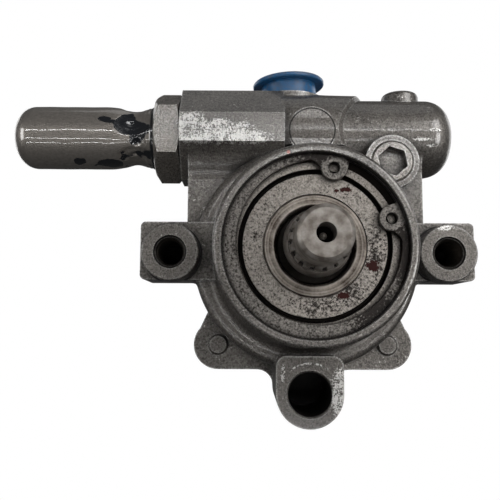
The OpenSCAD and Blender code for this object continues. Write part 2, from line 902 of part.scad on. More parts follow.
// Outlet fitting: hexagon, threaded shank with nozzle, neck and head
module outlet_fitting() {
    corner_r = hex_width / sqrt(3);
    shank_r = counter_r - fit;
    neck_r = fitting_neck_diameter / 2;
    head_r = fitting_head_diameter / 2;
    head_right_x = fitting_left + head_length;
    color(cast_grey)
        difference() {
            union() {
                intersection() {
                    bar(hex_left, -head_left)
                        translate([valve_y, valve_z])
                            rotate(hex_turn)
                                circle(corner_r, $fn = 6);
                    valve_turned()
                        polygon([
                            [0, hex_left],
                            [hex_width / 2 - 0.4, hex_left],
                            [corner_r + 0.1, hex_left + 1.6],
                            [corner_r + 0.1, -head_left - 1],
                            [hex_width / 2 - 0.3, -head_left],
                            [0, -head_left]
                        ]);
                }
                valve_turned()
                    polygon([
                        [0, fitting_left],
                        [head_r - 1.5, fitting_left],
                        [head_r, fitting_left + 1.5],
                        [head_r, head_right_x - 1.5],
                        [neck_r, head_right_x + 1],
                        [neck_r, hex_left - 2],
                        [neck_r + 1.5, hex_left],
                        [neck_r + 1.5, -head_left - past],
                        [shank_r, -head_left - past],
                        [shank_r, -head_left + 1],
                        [shank_r - 1.5, -head_left + 1],
                        [shank_r - 1.5, -head_left + 2.9],
                        [shank_r, -head_left + 2.9],
                        [shank_r, counter_end - 1.4],
                        [shank_r - 1, counter_end - 0.4],
                        [valve_r - 3, counter_end - 0.4],
                        [valve_r - 3, nozzle_end],
                        [0, nozzle_end]
                    ]);
            }
            valve_collar(0, fitting_bore / 2, fitting_left - past, nozzle_end + past);
            valve_turned()
                polygon([
                    [0, fitting_left - 0.1],
                    [head_r - 2.6, fitting_left - 0.1],
                    [0, fitting_left + head_r - 2.7]
                ]);
        }
}

// Seal ring in the fitting's groove
module fitting_o_ring() {
    color(rubber_black)
        valve_turned()
            translate([counter_r - 0.8, -head_left + 1.95])
                circle(0.72);
}

// Radius of the dust cap along its length, offset inwards by a wall
function cap_radius(x, wall) =
    let (
        reach = (cap_neck_right - cap_neck_left) / 2,
        place = (x - cap_neck_middle) / reach,
        sink = abs(place) < 1 ? (1 + cos(180 * place)) / 2 : 0
    )
    cap_r - wall - cap_neck_depth * sink;

// Half profile of the dust cap's body, with a round closed end and a sunken neck
module cap_profile(wall, right_x) {
    corner = cap_end_radius - wall;
    steps = 12;
    rounded_end_profile(cap_r - wall, cap_left + wall, cap_neck_left, corner);
    polygon(concat(
        [[0, cap_neck_left - past]],
        [[cap_r - wall, cap_neck_left - past]],
        [
            for (step = [0 : steps])
                let (x = cap_neck_left + (right_x - cap_neck_left) * step / steps)
                [cap_radius(x, wall), x]
        ],
        [[0, right_x]]
    ));
}

// Balls that press the dents into the cap's neck, grown by a wall
module cap_dents(grow) {
    for (dent = [[100, -4.6], [172, -6.2], [205, -3], [255, -6], [330, -5], [40, -5.5]])
        translate([hex_left + dent[1], valve_y, valve_z])
            rotate([dent[0], 0, 0])
                translate([0, cap_r - cap_neck_depth - cap_dent_depth + dent_ball_r, 0])
                    sphere(dent_ball_r + grow);
}

// Soft dust cap pushed over the outlet fitting, its neck fallen in
module outlet_dust_cap() {
    color(cap_grey)
        difference() {
            valve_turned()
                cap_profile(0, cap_right);
            difference() {
                valve_turned()
                    cap_profile(cap_wall, cap_right + past);
                cap_dents(cap_wall);
            }
            cap_dents(0);
        }
}

// Tapered plastic plug in the inlet, open at the top
module inlet_plug() {
    stem_top = plug_stand_off;
    stem_bottom = inlet_floor - inlet_top + 1.2;
    mouth_r = inlet_bore / 2 - 0.35;
    wall = 1.3;
    rise = plug_stand_off + plug_flange_thickness;
    color(plug_blue)
        translate([inlet_x, inlet_y, inlet_top])
            rotate([0, -plug_lean, 0])
                rotate_extrude()
                    polygon([
                        [0, stem_bottom],
                        [mouth_r - 1.2, stem_bottom],
                        [mouth_r - 0.1, -0.5],
                        [mouth_r + 0.2, 0.8],
                        [mouth_r + 0.3, stem_top],
                        [plug_flange_diameter / 2 - 0.3, stem_top],
                        [plug_flange_diameter / 2, stem_top + 0.3],
                        [plug_flange_diameter / 2, rise - 0.3],
                        [plug_flange_diameter / 2 - 0.3, rise],
                        [mouth_r + 0.3 - wall, rise],
                        [mouth_r - 1.2 - wall, stem_bottom + wall],
                        [0, stem_bottom + wall]
                    ]);
}

// Socket plug that closes the gallery drilling
module gallery_plug() {
    plug_r = gallery_plug_diameter / 2;
    socket_r = gallery_socket / sqrt(3);
    color(cast_grey)
        translate([gallery_right, gallery_face, gallery_height])
            difference() {
                union() {
                    rod(plug_r, 0.1, gallery_depth);
                    taper(plug_r - 0.6, plug_r, -0.5, 0.1);
                }
                slab(-past, gallery_socket_depth)
                    rotate(42)
                        circle(socket_r, $fn = 6);
            }
}

// Open spring ring with two plier eyes that holds the bearing in
module retaining_ring() {
    outer_r = bearing_r + ring_groove_depth - 0.1;
    inner_r = outer_r - (ring_thin_width + ring_thick_width) / 2;
    shift = (ring_thick_width - ring_thin_width) / 2;
    eye_r = ring_eye_diameter / 2;
    eye_place = outer_r - ring_thin_width + 1.9 - eye_r;
    eye_half = asin(eye_r / eye_place);
    blend = 1.9 * eye_half;
    thin_r = outer_r - ring_thin_width;
    corner_r = sqrt(outer_r * outer_r - eye_r * eye_r);
    color(dark_steel)
        slab(bearing_front - ring_thickness, bearing_front)
            rotate(ring_gap_angle)
                difference() {
                    circle(outer_r);
                    difference() {
                        union() {
                            translate([shift, 0])
                                circle(inner_r);
                            sector(-ring_eye_angle, ring_eye_angle, 2 * outer_r);
                        }
                        for (side = [-1, 1])
                            mirror([0, side < 0 ? 1 : 0])
                                rotate(ring_eye_angle) {
                                    translate([eye_place, 0])
                                        circle(eye_r);
                                    translate([eye_place, -eye_r])
                                        square([corner_r - eye_place, eye_r + 0.2]);
                                    polygon([
                                        [eye_place - 0.3 * eye_r, 0.95 * eye_r],
                                        (thin_r - 0.9) * [cos(0.75 * blend), sin(0.75 * blend)],
                                        thin_r * [cos(blend), sin(blend)],
                                        (outer_r - 1) * [cos(blend), sin(blend)],
                                        [eye_place, 0]
                                    ]);
                                }
                    }
                    for (side = [-1, 1])
                        rotate(side * ring_eye_angle)
                            translate([eye_place - 0.3, 0])
                                circle(ring_eye_hole / 2);
                }
}

// Outer race with a ball groove
module bearing_outer_race() {
    color(bare_steel)
        turned()
            difference() {
                translate([outer_land_r, bearing_front])
                    square([bearing_r - outer_land_r, bearing_width]);
                translate([pitch_r, bearing_middle])
                    circle(groove_r);
            }
}

// Inner race with a ball groove and a step for each shield
module bearing_inner_race() {
    step = shield_set_in + shield_thickness + 0.5;
    bore_r = bearing_bore / 2;
    color(bare_steel)
        turned()
            difference() {
                polygon([
                    [bore_r + 0.5, bearing_front],
                    [inner_step_r, bearing_front],
                    [inner_step_r, bearing_front + step],
                    [inner_land_r, bearing_front + step],
                    [inner_land_r, bearing_rear - step],
                    [inner_step_r, bearing_rear - step],
                    [inner_step_r, bearing_rear],
                    [bore_r + 0.5, bearing_rear],
                    [bore_r, bearing_rear - 0.5],
                    [bore_r, bearing_front + 0.5]
                ]);
                translate([pitch_r, bearing_middle])
                    circle(groove_r);
            }
}

// Places one child at each ball
module at_balls() {
    for (ball = [0 : ball_count - 1])
        rotate([0, ball * 360 / ball_count, 0])
            translate([pitch_r, bearing_middle, 0])
                children();
}

// Balls of the bearing
module bearing_balls() {
    color(bare_steel)
        at_balls()
            sphere(ball_r);
}

// Ribbon cage that spaces the balls
module bearing_cage() {
    half_width = ball_r + 0.75;
    color(bronze)
        difference() {
            collar(pitch_r - 0.7, pitch_r + 0.7, bearing_middle - half_width, bearing_middle + half_width);
            at_balls()
                rotate([0, 90, 0])
                    cylinder(r = ball_r + 0.12, h = 4, center = true);
        }
}

// Steel shield across the gap between the races, its edge pressed back into the outer race
module shield(front_y, inwards) {
    face_r = shield_outer_r - shield_groove;
    half = shield_thickness / 2;
    edge_y = front_y + inwards * 2 * shield_thickness;
    turned() {
        translate([shield_inner_r, front_y - half])
            square([face_r - shield_inner_r, shield_thickness]);
        translate([face_r - shield_thickness, min(front_y, edge_y) - half])
            square([shield_thickness, abs(edge_y - front_y) + shield_thickness]);
        translate([face_r - shield_thickness, edge_y - half])
            square([shield_outer_r - face_r + shield_thickness, shield_thickness]);
    }
}

// Shield on the front of the bearing
module bearing_front_shield() {
    color(bare_steel)
        shield(bearing_front + shield_set_in + shield_thickness / 2, 1);
}

// Shield on the back of the bearing
module bearing_rear_shield() {
    color(bare_steel)
        shield(bearing_rear - shield_set_in - shield_thickness / 2, -1);
}

// Pressed steel case of the shaft seal
module seal_case() {
    wall = 0.9;
    color(dark_steel)
        turned()
            polygon([
                [seal_r, seal_front],
                [seal_r, seal_rear],
                [land_r + 3.6, seal_rear],
                [land_r + 3.6, seal_rear - wall],
                [seal_r - wall, seal_rear - wall],
                [seal_r - wall, seal_front]
            ]);
}

// Rubber lip of the shaft seal
module seal_lip() {
    base = seal_rear - 0.95;
    lip_r = land_r + 0.08;
    color(rubber_black)
        turned()
            polygon([
                [seal_r - 0.95, base],
                [lip_r + 2.4, base],
                [lip_r, base - 3.1],
                [lip_r + 0.3, base - 4.1],
                [lip_r + 2.3, base - 4.9],
                [lip_r + 2.6, base - 4.3],
                [lip_r + 2.1, base - 3.5],
                [lip_r + 2.3, base - 2.5],
                [lip_r + 3.4, base - 1.2],
                [seal_r - 0.95, base - 1.2]
            ]);
}

// Garter spring that presses the lip on the shaft
module seal_garter_spring() {
    color(bare_steel)
        turned()
            translate([land_r + 0.08 + 2.75, seal_rear - 4.4])
                circle(0.5);
}

// Drive shaft: nose, drive spline, bearing seat, seal land, rotor spline and journal
module drive_shaft() {
    nose_r = nose_diameter / 2;
    tip_r = spline_diameter / 2;
    root_r = tip_r - spline_depth;
    pitch = 2 * PI * tip_r / spline_teeth;
    spline_front = tip_front + nose_length;
    spline_back = spline_front + spline_length;
    collar_r = collar_diameter / 2;
    relief_r = collar_r - collar_relief;
    collar_front = spline_back + collar_slope;
    seat_front = bearing_front + seat_recess;
    seat_r = bearing_bore / 2 - run;
    rotor_r_tip = rotor_spline_diameter / 2;
    clip_front = cam_rear + 0.2;
    color(bare_steel)
        difference() {
            union() {
                turned()
                    polygon([
                        [0, tip_front],
                        [nose_r - 1, tip_front],
                        [nose_r, tip_front + 0.8],
                        [nose_r, spline_front],
                        [root_r - 0.1, spline_front + root_r - nose_r],
                        [root_r - 0.1, spline_back],
                        [tip_r + 0.15, spline_back],
                        [collar_r, collar_front],
                        [collar_r, collar_front + 0.6],
                        [relief_r, collar_front + 0.6 + collar_relief],
                        [relief_r, seat_front],
                        [seat_r - 0.5, seat_front],
                        [seat_r, seat_front + 0.5],
                        [seat_r, bearing_rear],
                        [shoulder_r, bearing_rear],
                        [shoulder_r, bearing_rear + 1],
                        [land_r, bearing_rear + 1],
                        [land_r, cavity_front - 0.6],
                        [land_r - 0.6, cavity_front],
                        [rotor_r_tip - 0.9, cavity_front],
                        [rotor_r_tip - 0.9, clip_front],
                        [journal_r - 0.8, clip_front],
                        [journal_r - 0.8, clip_front + 1.2],
                        [journal_r - run, clip_front + 1.2],
                        [journal_r - run, spigot_front + bush_length],
                        [journal_r - 1.2, spigot_front + bush_length + 1],
                        [0, spigot_front + bush_length + 1]
                    ]);
                intersection() {
                    slab(spline_front, spline_back + past)
                        rotate(spline_turn)
                            spline_outline(root_r, tip_r, spline_teeth, 0.74 * pitch, 0.52 * pitch);
                    turned()
                        polygon([
                            [0, spline_front],
                            [nose_r - 0.2, spline_front],
                            [tip_r + 0.1, spline_front + 1.6],
                            [tip_r + 0.1, spline_back + 1],
                            [0, spline_back + 1]
                        ]);
                }
                slab(cavity_front - past, clip_front)
                    rotor_spline(0);
            }
            rod(centre_hole / 2, tip_front - past, tip_front + 6);
            taper(centre_hole / 2, 0, tip_front + 6, tip_front + 7.3);
            taper(centre_hole / 2 + 0.4, centre_hole / 2, tip_front - past, tip_front + 0.3);
        }
}

// Spline between shaft and rotor, grown by a gap
module rotor_spline(gap) {
    tip_r = rotor_spline_diameter / 2;
    teeth = 12;
    pitch = 2 * PI * tip_r / teeth;
    spline_outline(tip_r - 0.8 + gap, tip_r + gap, teeth, 0.7 * pitch + 2 * gap, 0.45 * pitch + 2 * gap);
}

// Slotted rotor
module rotor() {
    slot = vane_thickness + 0.2;
    slot_floor = rotor_r - vane_length;
    color(dark_steel)
        slab(cam_front + side_play, cam_rear - side_play)
            difference() {
                circle(rotor_r);
                rotor_spline(fit);
                for (index = [0 : vane_slots - 1])
                    rotate(vane_angle(index)) {
                        translate([slot_floor, -slot / 2])
                            square([2 * vane_length, slot]);
                        translate([slot_floor - 0.6, 0])
                            circle(slot * 0.9);
                    }
            }
}

// Open clip that keeps the rotor on the shaft
module rotor_clip() {
    front = cam_rear + 0.2 + 0.1;
    color(dark_steel)
        slab(front, front + 1)
            difference() {
                circle(journal_r + 1.6);
                circle(journal_r - 0.75);
                sector(60, 120, 3 * journal_r);
            }
}

// Direction of a vane in the front view
function vane_angle(index) = (index + 0.5) * 360 / vane_slots;

// One vane with a rounded tip, drawn in to the rotor's edge
module vane(index) {
    tip_r = rotor_r - 0.1;
    color(bare_steel)
        slab(cam_front + side_play + 0.05, cam_rear - side_play - 0.05)
            rotate(vane_angle(index))
                intersection() {
                    translate([tip_r - vane_length + 0.4, -vane_thickness / 2])
                        square([vane_length, vane_thickness]);
                    translate([tip_r - 2 * vane_thickness, 0])
                        circle(2 * vane_thickness);
                    translate([tip_r - vane_length + 0.4, -vane_thickness])
                        square([vane_length - 0.4, 2 * vane_thickness]);
                }
}

// Vanes, one in each slot of the rotor
module vane_01() {
    vane(0);
}
module vane_02() {
    vane(1);
}
module vane_03() {
    vane(2);
}
module vane_04() {
    vane(3);
}
module vane_05() {
    vane(4);
}
module vane_06() {
    vane(5);
}
module vane_07() {
    vane(6);
}
module vane_08() {
    vane(7);
}
module vane_09() {
    vane(8);
}
module vane_10() {
    vane(9);
}

// Radius of the cam ring's bore in one direction
function cam_radius(angle) = cam_small_radius + cam_stroke * (1 - cos(2 * angle)) / 2;

// Cam ring with a two-lobed bore
module cam_ring() {
    steps = 60;
    color(dark_steel)
        slab(cam_front, cam_rear)
            difference() {
                circle(set_r);
                polygon([
                    for (step = [0 : steps - 1])
                        let (angle = step * 360 / steps)
                        cam_radius(angle) * [cos(angle), sin(angle)]
                ]);
                dowel_holes();
            }
}

// Radius of the circle that the dowel pins lie on
dowel_place = (set_r + cam_small_radius) / 2;

// Holes for the dowel pins
module dowel_holes() {
    for (side = [-1, 1])
        translate([side * dowel_place, 0])
            circle(dowel_diameter / 2 + fit);
}

// Front thrust plate with two suction and two pressure ports
module thrust_plate() {
    color(dark_steel)
        slab(cavity_front, cam_front)
            difference() {
                circle(set_r);
                circle(rotor_spline_diameter / 2 + loose);
                dowel_holes();
                plate_ports();
            }
}

// Kidney ports of a side plate
module plate_ports() {
    for (angle = [45, 135, 225, 315])
        kidney(cam_small_radius - 2.6, cam_small_radius - 0.4, angle - 18, angle + 18);
}

// Rear pressure plate with ports, a clip recess and a seal groove
module pressure_plate() {
    groove = 1.6;
    middle = cam_rear + pressure_plate_thickness / 2;
    color(dark_steel)
        difference() {
            slab(cam_rear, plate_rear)
                difference() {
                    circle(set_r);
                    circle(journal_r + loose);
                    dowel_holes();
                    plate_ports();
                }
            rod(journal_r + 2.2, cam_rear - past, cam_rear + 1.8);
            collar(cavity_r - groove, cavity_r, middle - groove / 2, middle + groove / 2);
        }
}

// Seal ring around the pressure plate
module plate_o_ring() {
    color(rubber_black)
        turned()
            translate([cavity_r - 0.8, cam_rear + pressure_plate_thickness / 2])
                circle(0.72);
}

// Two pins that line up plates and cam ring
module dowel_pins() {
    color(bare_steel)
        for (side = [-1, 1])
            rod(dowel_diameter / 2, cavity_front + 0.5, plate_rear - 0.5, side * dowel_place);
}

// Dished ring spring that presses the plates together
module plate_spring() {
    inner_r = bush_r + 3;
    outer_r = set_r - 5;
    gap = 0.05;
    thickness = 1.3;
    color(dark_steel)
        turned()
            polygon([
                [inner_r, plate_rear + gap],
                [inner_r, plate_rear + gap + thickness],
                [outer_r, spigot_front - gap],
                [outer_r, spigot_front - gap - thickness]
            ]);
}

// Plain bush for the shaft's rear journal
module shaft_bush() {
    color(bronze)
        collar(journal_r, bush_r, spigot_front + 0.2, spigot_front + bush_length);
}

// Flow control spool: lands, a waist, a spring pocket and the relief bore
module flow_spool() {
    color(bare_steel)
        difference() {
            valve_turned()
                polygon([
                    [0, spool_left],
                    [valve_r - 3.6, spool_left],
                    [valve_r - 3.6, spool_left + 3.5],
                    [spool_r - 0.4, spool_left + 3.5],
                    [spool_r, spool_left + 3.9],
                    [spool_r, spool_left + 11],
                    [spool_r - 1.7, spool_left + 12],
                    [spool_r - 1.7, spool_left + 19],
                    [spool_r, spool_left + 20],
                    [spool_r, spool_right - 0.4],
                    [spool_r - 0.4, spool_right],
                    [0, spool_right]
                ]);
            valve_collar(0, pocket_r, pocket_left, spool_right + past);
            valve_collar(0, relief_bore_r, relief_bore_left, pocket_left + past);
        }
}

// Spring that presses the spool against the fitting's nozzle
module flow_spring() {
    gap = 0.1;
    color(bare_steel)
        translate([pocket_left + gap, valve_y, valve_z])
            rotate([0, 90, 0])
                coil(flow_coil_r, flow_wire / 2, flow_turns, valve_end - pocket_left - 2 * gap);
}

// Screwed seat of the relief valve
module relief_seat() {
    seat_r = relief_bore_r - fit;
    color(bronze)
        valve_turned()
            polygon([
                [0.9, relief_seat_left + 1.2],
                [relief_r - 0.4, relief_seat_left - 0.2],
                [seat_r, relief_seat_left - 0.2],
                [seat_r, pocket_left],
                [0.9, pocket_left]
            ]);
}

// Ball of the relief valve
module relief_ball() {
    color(bare_steel)
        translate([relief_ball_x, valve_y, valve_z])
            sphere(relief_r);
}

// Spring of the relief valve
module relief_spring() {
    wire_r = 0.4;
    gap = 0.1;
    left = relief_bore_left + gap;
    right = relief_ball_x - relief_r - gap;
    color(bare_steel)
        translate([left, valve_y, valve_z])
            rotate([0, 90, 0])
                coil(relief_bore_r - 0.3 - wire_r, wire_r, relief_turns, right - left, 5, 10);
}

housing();
rear_cover();
rear_cover_bolts();
cover_o_ring();
outlet_fitting();
fitting_o_ring();
outlet_dust_cap();
inlet_plug();
gallery_plug();
retaining_ring();
bearing_outer_race();
bearing_inner_race();
bearing_balls();
bearing_cage();
bearing_front_shield();
bearing_rear_shield();
seal_case();
seal_lip();
seal_garter_spring();
drive_shaft();
rotor();
rotor_clip();
vane_01();
vane_02();
vane_03();
vane_04();
vane_05();
vane_06();
vane_07();
vane_08();
vane_09();
vane_10();
cam_ring();
thrust_plate();
pressure_plate();
plate_o_ring();
dowel_pins();
plate_spring();
shaft_bush();
flow_spool();
flow_spring();
relief_seat();
relief_ball();
relief_spring();
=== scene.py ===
"""Finishes, soft dust cap, cut threads and studio for a reconditioned power steering pump."""

import json
import math

import bpy
from mathutils import Euler, Matrix, Vector, noise

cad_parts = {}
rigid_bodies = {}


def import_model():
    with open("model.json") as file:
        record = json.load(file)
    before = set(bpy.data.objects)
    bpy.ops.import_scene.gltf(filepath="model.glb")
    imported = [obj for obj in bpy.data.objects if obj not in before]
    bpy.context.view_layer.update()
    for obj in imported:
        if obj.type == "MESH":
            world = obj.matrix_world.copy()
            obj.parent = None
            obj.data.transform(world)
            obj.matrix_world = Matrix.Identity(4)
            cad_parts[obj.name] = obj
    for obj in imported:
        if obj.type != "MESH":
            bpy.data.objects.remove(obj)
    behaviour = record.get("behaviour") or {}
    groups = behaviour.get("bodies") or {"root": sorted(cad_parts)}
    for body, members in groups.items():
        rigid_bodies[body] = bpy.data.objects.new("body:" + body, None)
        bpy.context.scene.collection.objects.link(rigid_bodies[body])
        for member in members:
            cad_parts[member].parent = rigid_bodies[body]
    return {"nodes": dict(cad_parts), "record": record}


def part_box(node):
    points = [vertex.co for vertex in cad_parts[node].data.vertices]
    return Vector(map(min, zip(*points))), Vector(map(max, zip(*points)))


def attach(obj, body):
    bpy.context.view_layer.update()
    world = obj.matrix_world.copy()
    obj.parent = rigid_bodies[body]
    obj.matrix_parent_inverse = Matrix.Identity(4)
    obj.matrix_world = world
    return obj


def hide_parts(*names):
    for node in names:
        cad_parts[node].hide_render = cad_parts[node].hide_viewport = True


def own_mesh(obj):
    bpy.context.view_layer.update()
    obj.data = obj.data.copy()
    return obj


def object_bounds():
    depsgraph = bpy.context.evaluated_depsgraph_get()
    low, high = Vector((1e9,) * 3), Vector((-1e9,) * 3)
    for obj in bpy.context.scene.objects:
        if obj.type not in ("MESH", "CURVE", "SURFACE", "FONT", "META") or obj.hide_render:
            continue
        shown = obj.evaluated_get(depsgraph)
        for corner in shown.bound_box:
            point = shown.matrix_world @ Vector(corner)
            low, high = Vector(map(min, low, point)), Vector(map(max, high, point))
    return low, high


bl_info = {
    "name": "Power Steering Pump Finishes",
    "version": (1, 0, 0),
    "blender": (4, 5, 0),
    "location": "3D View > Sidebar > Pump",
    "description": "Dresses the pump in paint, worn steel, vinyl and plastic, and lights it",
    "category": "Object",
}

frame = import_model()
CAD_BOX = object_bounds()
NODES = frame["nodes"]
MM = 0.001

# Lengths in the tables below are millimetres; a patch is its middle and its reach each way

# Middles of the shaft and of the mounting holes, as X and Z
AXIS, LEFT, RIGHT, BOTTOM = (0, 0), (-39, 0), (39, 0), (0, -39)
# Patches where the paint is scuffed to the metal; the last three, on the barrel's end, are painted
# highlights: streaks of light drawn as bare metal
SCUFFS_AND_HIGHLIGHTS = (
    ((-34, 8, 38), (8, 3, 7.5)),
    ((-25, 8, 37), (12, 3, 5.5)),
    ((-17, 8, 35.2), (9, 3, 3)),
    ((8.4, 0, -39), (3.8, 3, 9)),
    ((8.6, 0, -34), (1.5, 3, 3)),
    ((-7.4, 0, -33), (0.9, 3, 3.2)),
    ((37.5, 0, 7.3), (4, 2.5, 1.3)),
    # Painted highlights: three streaks of light on the barrel's end, drawn as bare metal
    ((38.5, 10, 38.4), (3, 4, 0.7)),
    ((36.5, 10, 35.5), (5, 4, 0.6)),
    ((38, 10, 33.8), (2.6, 4, 0.6)),
)
# Arc that a washer has scratched round the bottom hole: the patch where it shows, and its radii
ARC_PATCH = (((-0.5, 0, -31), (8, 3, 3.2)),)
ARC_RADII = (8.2, 8.55)
# Soft edge of that arc and of the lines of painted shadow
LINE_SOFT = 0.15
# Patches of painted shade on the casting: beside the head's right end, under the head and barrel, and
# over the bottom lug's face
SHADE_PATCHES = (
    ((-5.4, 11, 37.5), (1.9, 9, 12)),
    ((-2, 12, 27), (40, 6, 4)),
    ((0, -2.8, -43), (17, 5, 19)),
)
# Patch where the painted shade is taken off again: painted light that keeps the hollow over the bottom
# lug pale
UNSHADED = (((0, 5, -29), (12, 12, 6)),)
# Holes painted black inside as their shade: middle and radii
SHADED_HOLES = ((BOTTOM, 0, 6.03), (LEFT, 0, 4.03), (RIGHT, 0, 4.03))
# Rings on the front that hold a line of painted shadow, as middle and radii: the bearing bore's wall,
# the foot of the round pad on the barrel, and the foot of each side pad and the chamfer of its hole
SHADOW_RINGS = (
    (AXIS, 22.9, 23.75),
    ((1.8, 37.8), 6.65, 6.95),
    (LEFT, 8.15, 8.6),
    (LEFT, 4.3, 4.6),
    (RIGHT, 8.15, 8.6),
    (RIGHT, 4.3, 4.6),
)
# Those lines fade out between these two depths behind the pads
SHADOW_RINGS_END = (14, 15)
# A fleck of red on the pilot's rim
FLECK = (((-7.0, -20, 23.4), (0.5, 4, 0.6)),)
# Patches where the spray has chipped off the bearing down to old primer
CHIPS = (
    ((14.7, -15.5, -5.1), (2.7, 2, 2.3)),
    ((7.0, -15.5, -12.7), (3.0, 2, 1.5)),
    ((7.9, -15.5, 14.6), (3.0, 2, 1.1)),
    ((5.6, -15.5, 14.3), (1.4, 2, 0.6)),
)
# Patches where the spray lies thin over the bearing and shows dark specks
THIN = (
    ((0, -15, -16), (11, 8, 4.5)),
    ((15, -15, -3), (4.5, 8, 13)),
    ((8, -15, -12), (8, 8, 6)),
    ((-15.3, -15, 2.8), (1.6, 4, 4.5)),
)
# Patches where the retaining ring has stayed black under the spray
BLACK_RING = (
    ((3, -17, 22), (15, 6, 7)),
    ((15, -17, 15), (12, 6, 12)),
    ((22, -17, -1), (6, 6, 15)),
    ((15, -17, -16), (11, 6, 9)),
)
# Eyes of the retaining ring, which took the spray
EYES = (((4.6, -17, 19.6), (4.2, 6, 4.2)), ((19.1, -17, 7.8), (4.2, 6, 4.2)))
# Gaps round the bearing's shield, inner race and outer race, painted black as their shade, as
# radii, and the depths behind the retaining ring's face between which they begin
SHADED_GAPS = ((18.6, 19.75), (13.0, 13.35), (21.6, 25.0))
SHADED_GAPS_START = (-16.4, -16.1)
# Radii between which the inner race darkens toward its bore: painted shade of the gap round the shaft
RACE_SHADE = (9.4, 8.5)
# Way along the shaft over which it darkens to black toward the bearing, painted shade behind its
# collar, and the radii of its centre drilling, painted black inside as its shade
SHAFT_SHADE = (-27, -21)
SHAFT_DRILLING = (0.9, 2.15)
# Ways below the plug's top between which its grey rim begins: overspray, and partly painted shade on
# the flange
PLUG_RIM_SPRAY_AND_SHADE = (1.6, 0.2)
# Patches where the spray has flaked off the dust cap, and the ways from its open end over which
# the cap's end turns black
FLAKES = (
    ((-54.5, 13, 40.5), (9.5, 8, 7.5)),
    ((-52, 13, 36), (5, 6, 5)),
    ((-61.5, 13, 42.3), (4.2, 4, 2.2)),
    ((-51.5, 15, 30.8), (9, 7, 4)),
    ((-69, 16, 29.5), (3.2, 5, 2.2)),
    ((-60, 18, 29), (8, 6, 2.2)),
    ((-52, 28, 44), (7, 6, 5)),
    ((-55, 30, 31), (6, 6, 4)),
)
CAP_RIM = (1.4, 1.0)
# Dents in the dust cap's neck: way from the open end, degrees up from the front, half length,
# half width and depth
DENTS = (
    (7.1, 17, 4.4, 3.3, 1.05),
    (5.4, -23, 1.0, 1.0, 0.9),
    (6.3, -50, 4.2, 2.5, 0.95),
    (6.6, 78, 4.0, 3.6, 0.9),
    (6.0, 128, 4.2, 3.2, 1.1),
    (6.9, 180, 4.0, 3.4, 0.9),
    (6.2, 232, 4.3, 3.4, 1.1),
    (6.5, 276, 3.8, 3.0, 0.8),
)
# Folds in a dent: share of its depth, and how closely they follow one another
FOLD_SHARE = 0.22
FOLD_RATE = 7
# The fallen neck: middle and reach along the cap, and the radius on which dents are measured
NECK_MIDDLE = 6.4
NECK_REACH = 4.2
NECK_RADIUS = 9
# Ribs near the cap's open end: height, pitch and reach; its lip: height and reach
RIB, RIB_PITCH, RIB_REACH = 0.1, 1.2, 3
LIP, LIP_REACH = 0.25, 1.1
# Unevenness of the cap's wall: height, and rates along and round the cap
UNEVEN, UNEVEN_ALONG, UNEVEN_ROUND = 0.05, 0.22, 2.2
# Radius at the foot of the tapped threads, a hair inside the drilled wall
THREAD_FOOT = 3.98
# Rounding of the bearing's and the shaft's edges, the seams closed before rounding, and the least
# angle in degrees of an edge that is rounded
FINE_EDGE = 0.12
SEAM = 0.004
LEAST_ANGLE = 30
# Reach of the thin paint along sharp edges, whose lighter colour is partly a painted highlight
EDGE_WEAR_AND_SHEEN = 1.1
# Lamps: name, place in metres, width, height and share of the studio's light
LAMPS = (
    ("key", (0.8, -0.9, 0.72), 0.8, 0.6, 0.66),
    ("front", (0.4, -1.1, 0.5), 0.8, 0.3, 0.06),
    ("upper_tube", (-0.1, -0.9, 0.29), 1.6, 0.008, 0.16),
    ("middle_tube", (-0.1, -0.9, -0.21), 1.6, 0.008, 0.1),
    ("lower_tube", (-0.1, -0.9, -0.51), 1.6, 0.008, 0.08),
    ("right", (0.8, -0.7, -0.05), 0.3, 0.5, 0.36),
    ("left", (-0.9, -0.4, 0.1), 0.3, 0.5, 0.18),
    ("top", (0.1, 0.1, 0.9), 0.8, 0.5, 0.05),
    ("back_right", (0.9, 0.9, 0.35), 0.8, 0.8, 0.3),
    ("back_left", (-0.9, 0.9, 0.35), 0.8, 0.8, 0.3),
)
# Point that every lamp faces, and sizes of the backdrop, in metres
AIM = Vector((0, 0, 0.01))
FLOOR_SIZE = 8
DOME_RADIUS = 3.9


def linear(code):
    """Linear colour of an sRGB hex value."""
    parts = [int(code[i : i + 2], 16) / 255 for i in (1, 3, 5)]
    return [v / 12.92 if v <= 0.04045 else ((v + 0.055) / 1.055) ** 2.4 for v in parts]


def rgba(colour):
    """A plain colour with full cover for a node's socket; a linked one stays as it is."""
    return colour if isinstance(colour, bpy.types.NodeSocket) else (*colour, 1.0)


def add(tree, kind, inputs=None, output=0, **settings):
    """Add a shader node with its settings, values and links, and return one of its outputs."""
    node = tree.nodes.new("ShaderNode" + kind)
    for name, value in settings.items():
        setattr(node, name, value)
    for name, value in (inputs or {}).items():
        if isinstance(value, bpy.types.NodeSocket):
            tree.links.new(value, node.inputs[name])
        else:
            node.inputs[name].default_value = value
    return node.outputs[output] if node.outputs else None


def empty_tree(owner):
    """The cleared node tree of a material or a world."""
    owner.use_nodes = True
    owner.node_tree.nodes.clear()
    return owner.node_tree


def new_material(name):
    """An empty node material, its tree and the place of a shading point on the piece."""
    material = bpy.data.materials.new(name)
    tree = empty_tree(material)
    return material, tree, add(tree, "TexCoord", output="Object")


def finish(tree, inputs):
    """Close a material with its shader."""
    add(tree, "OutputMaterial", {"Surface": add(tree, "BsdfPrincipled", inputs)})


def layered(tree, colour, *layers):
    """A colour with others laid over it, each by its own cover."""
    for cover, top in layers:
        inputs = {"Factor": cover, 6: rgba(colour), 7: rgba(top)}
        colour = add(tree, "Mix", inputs, 2, data_type="RGBA")
    return colour


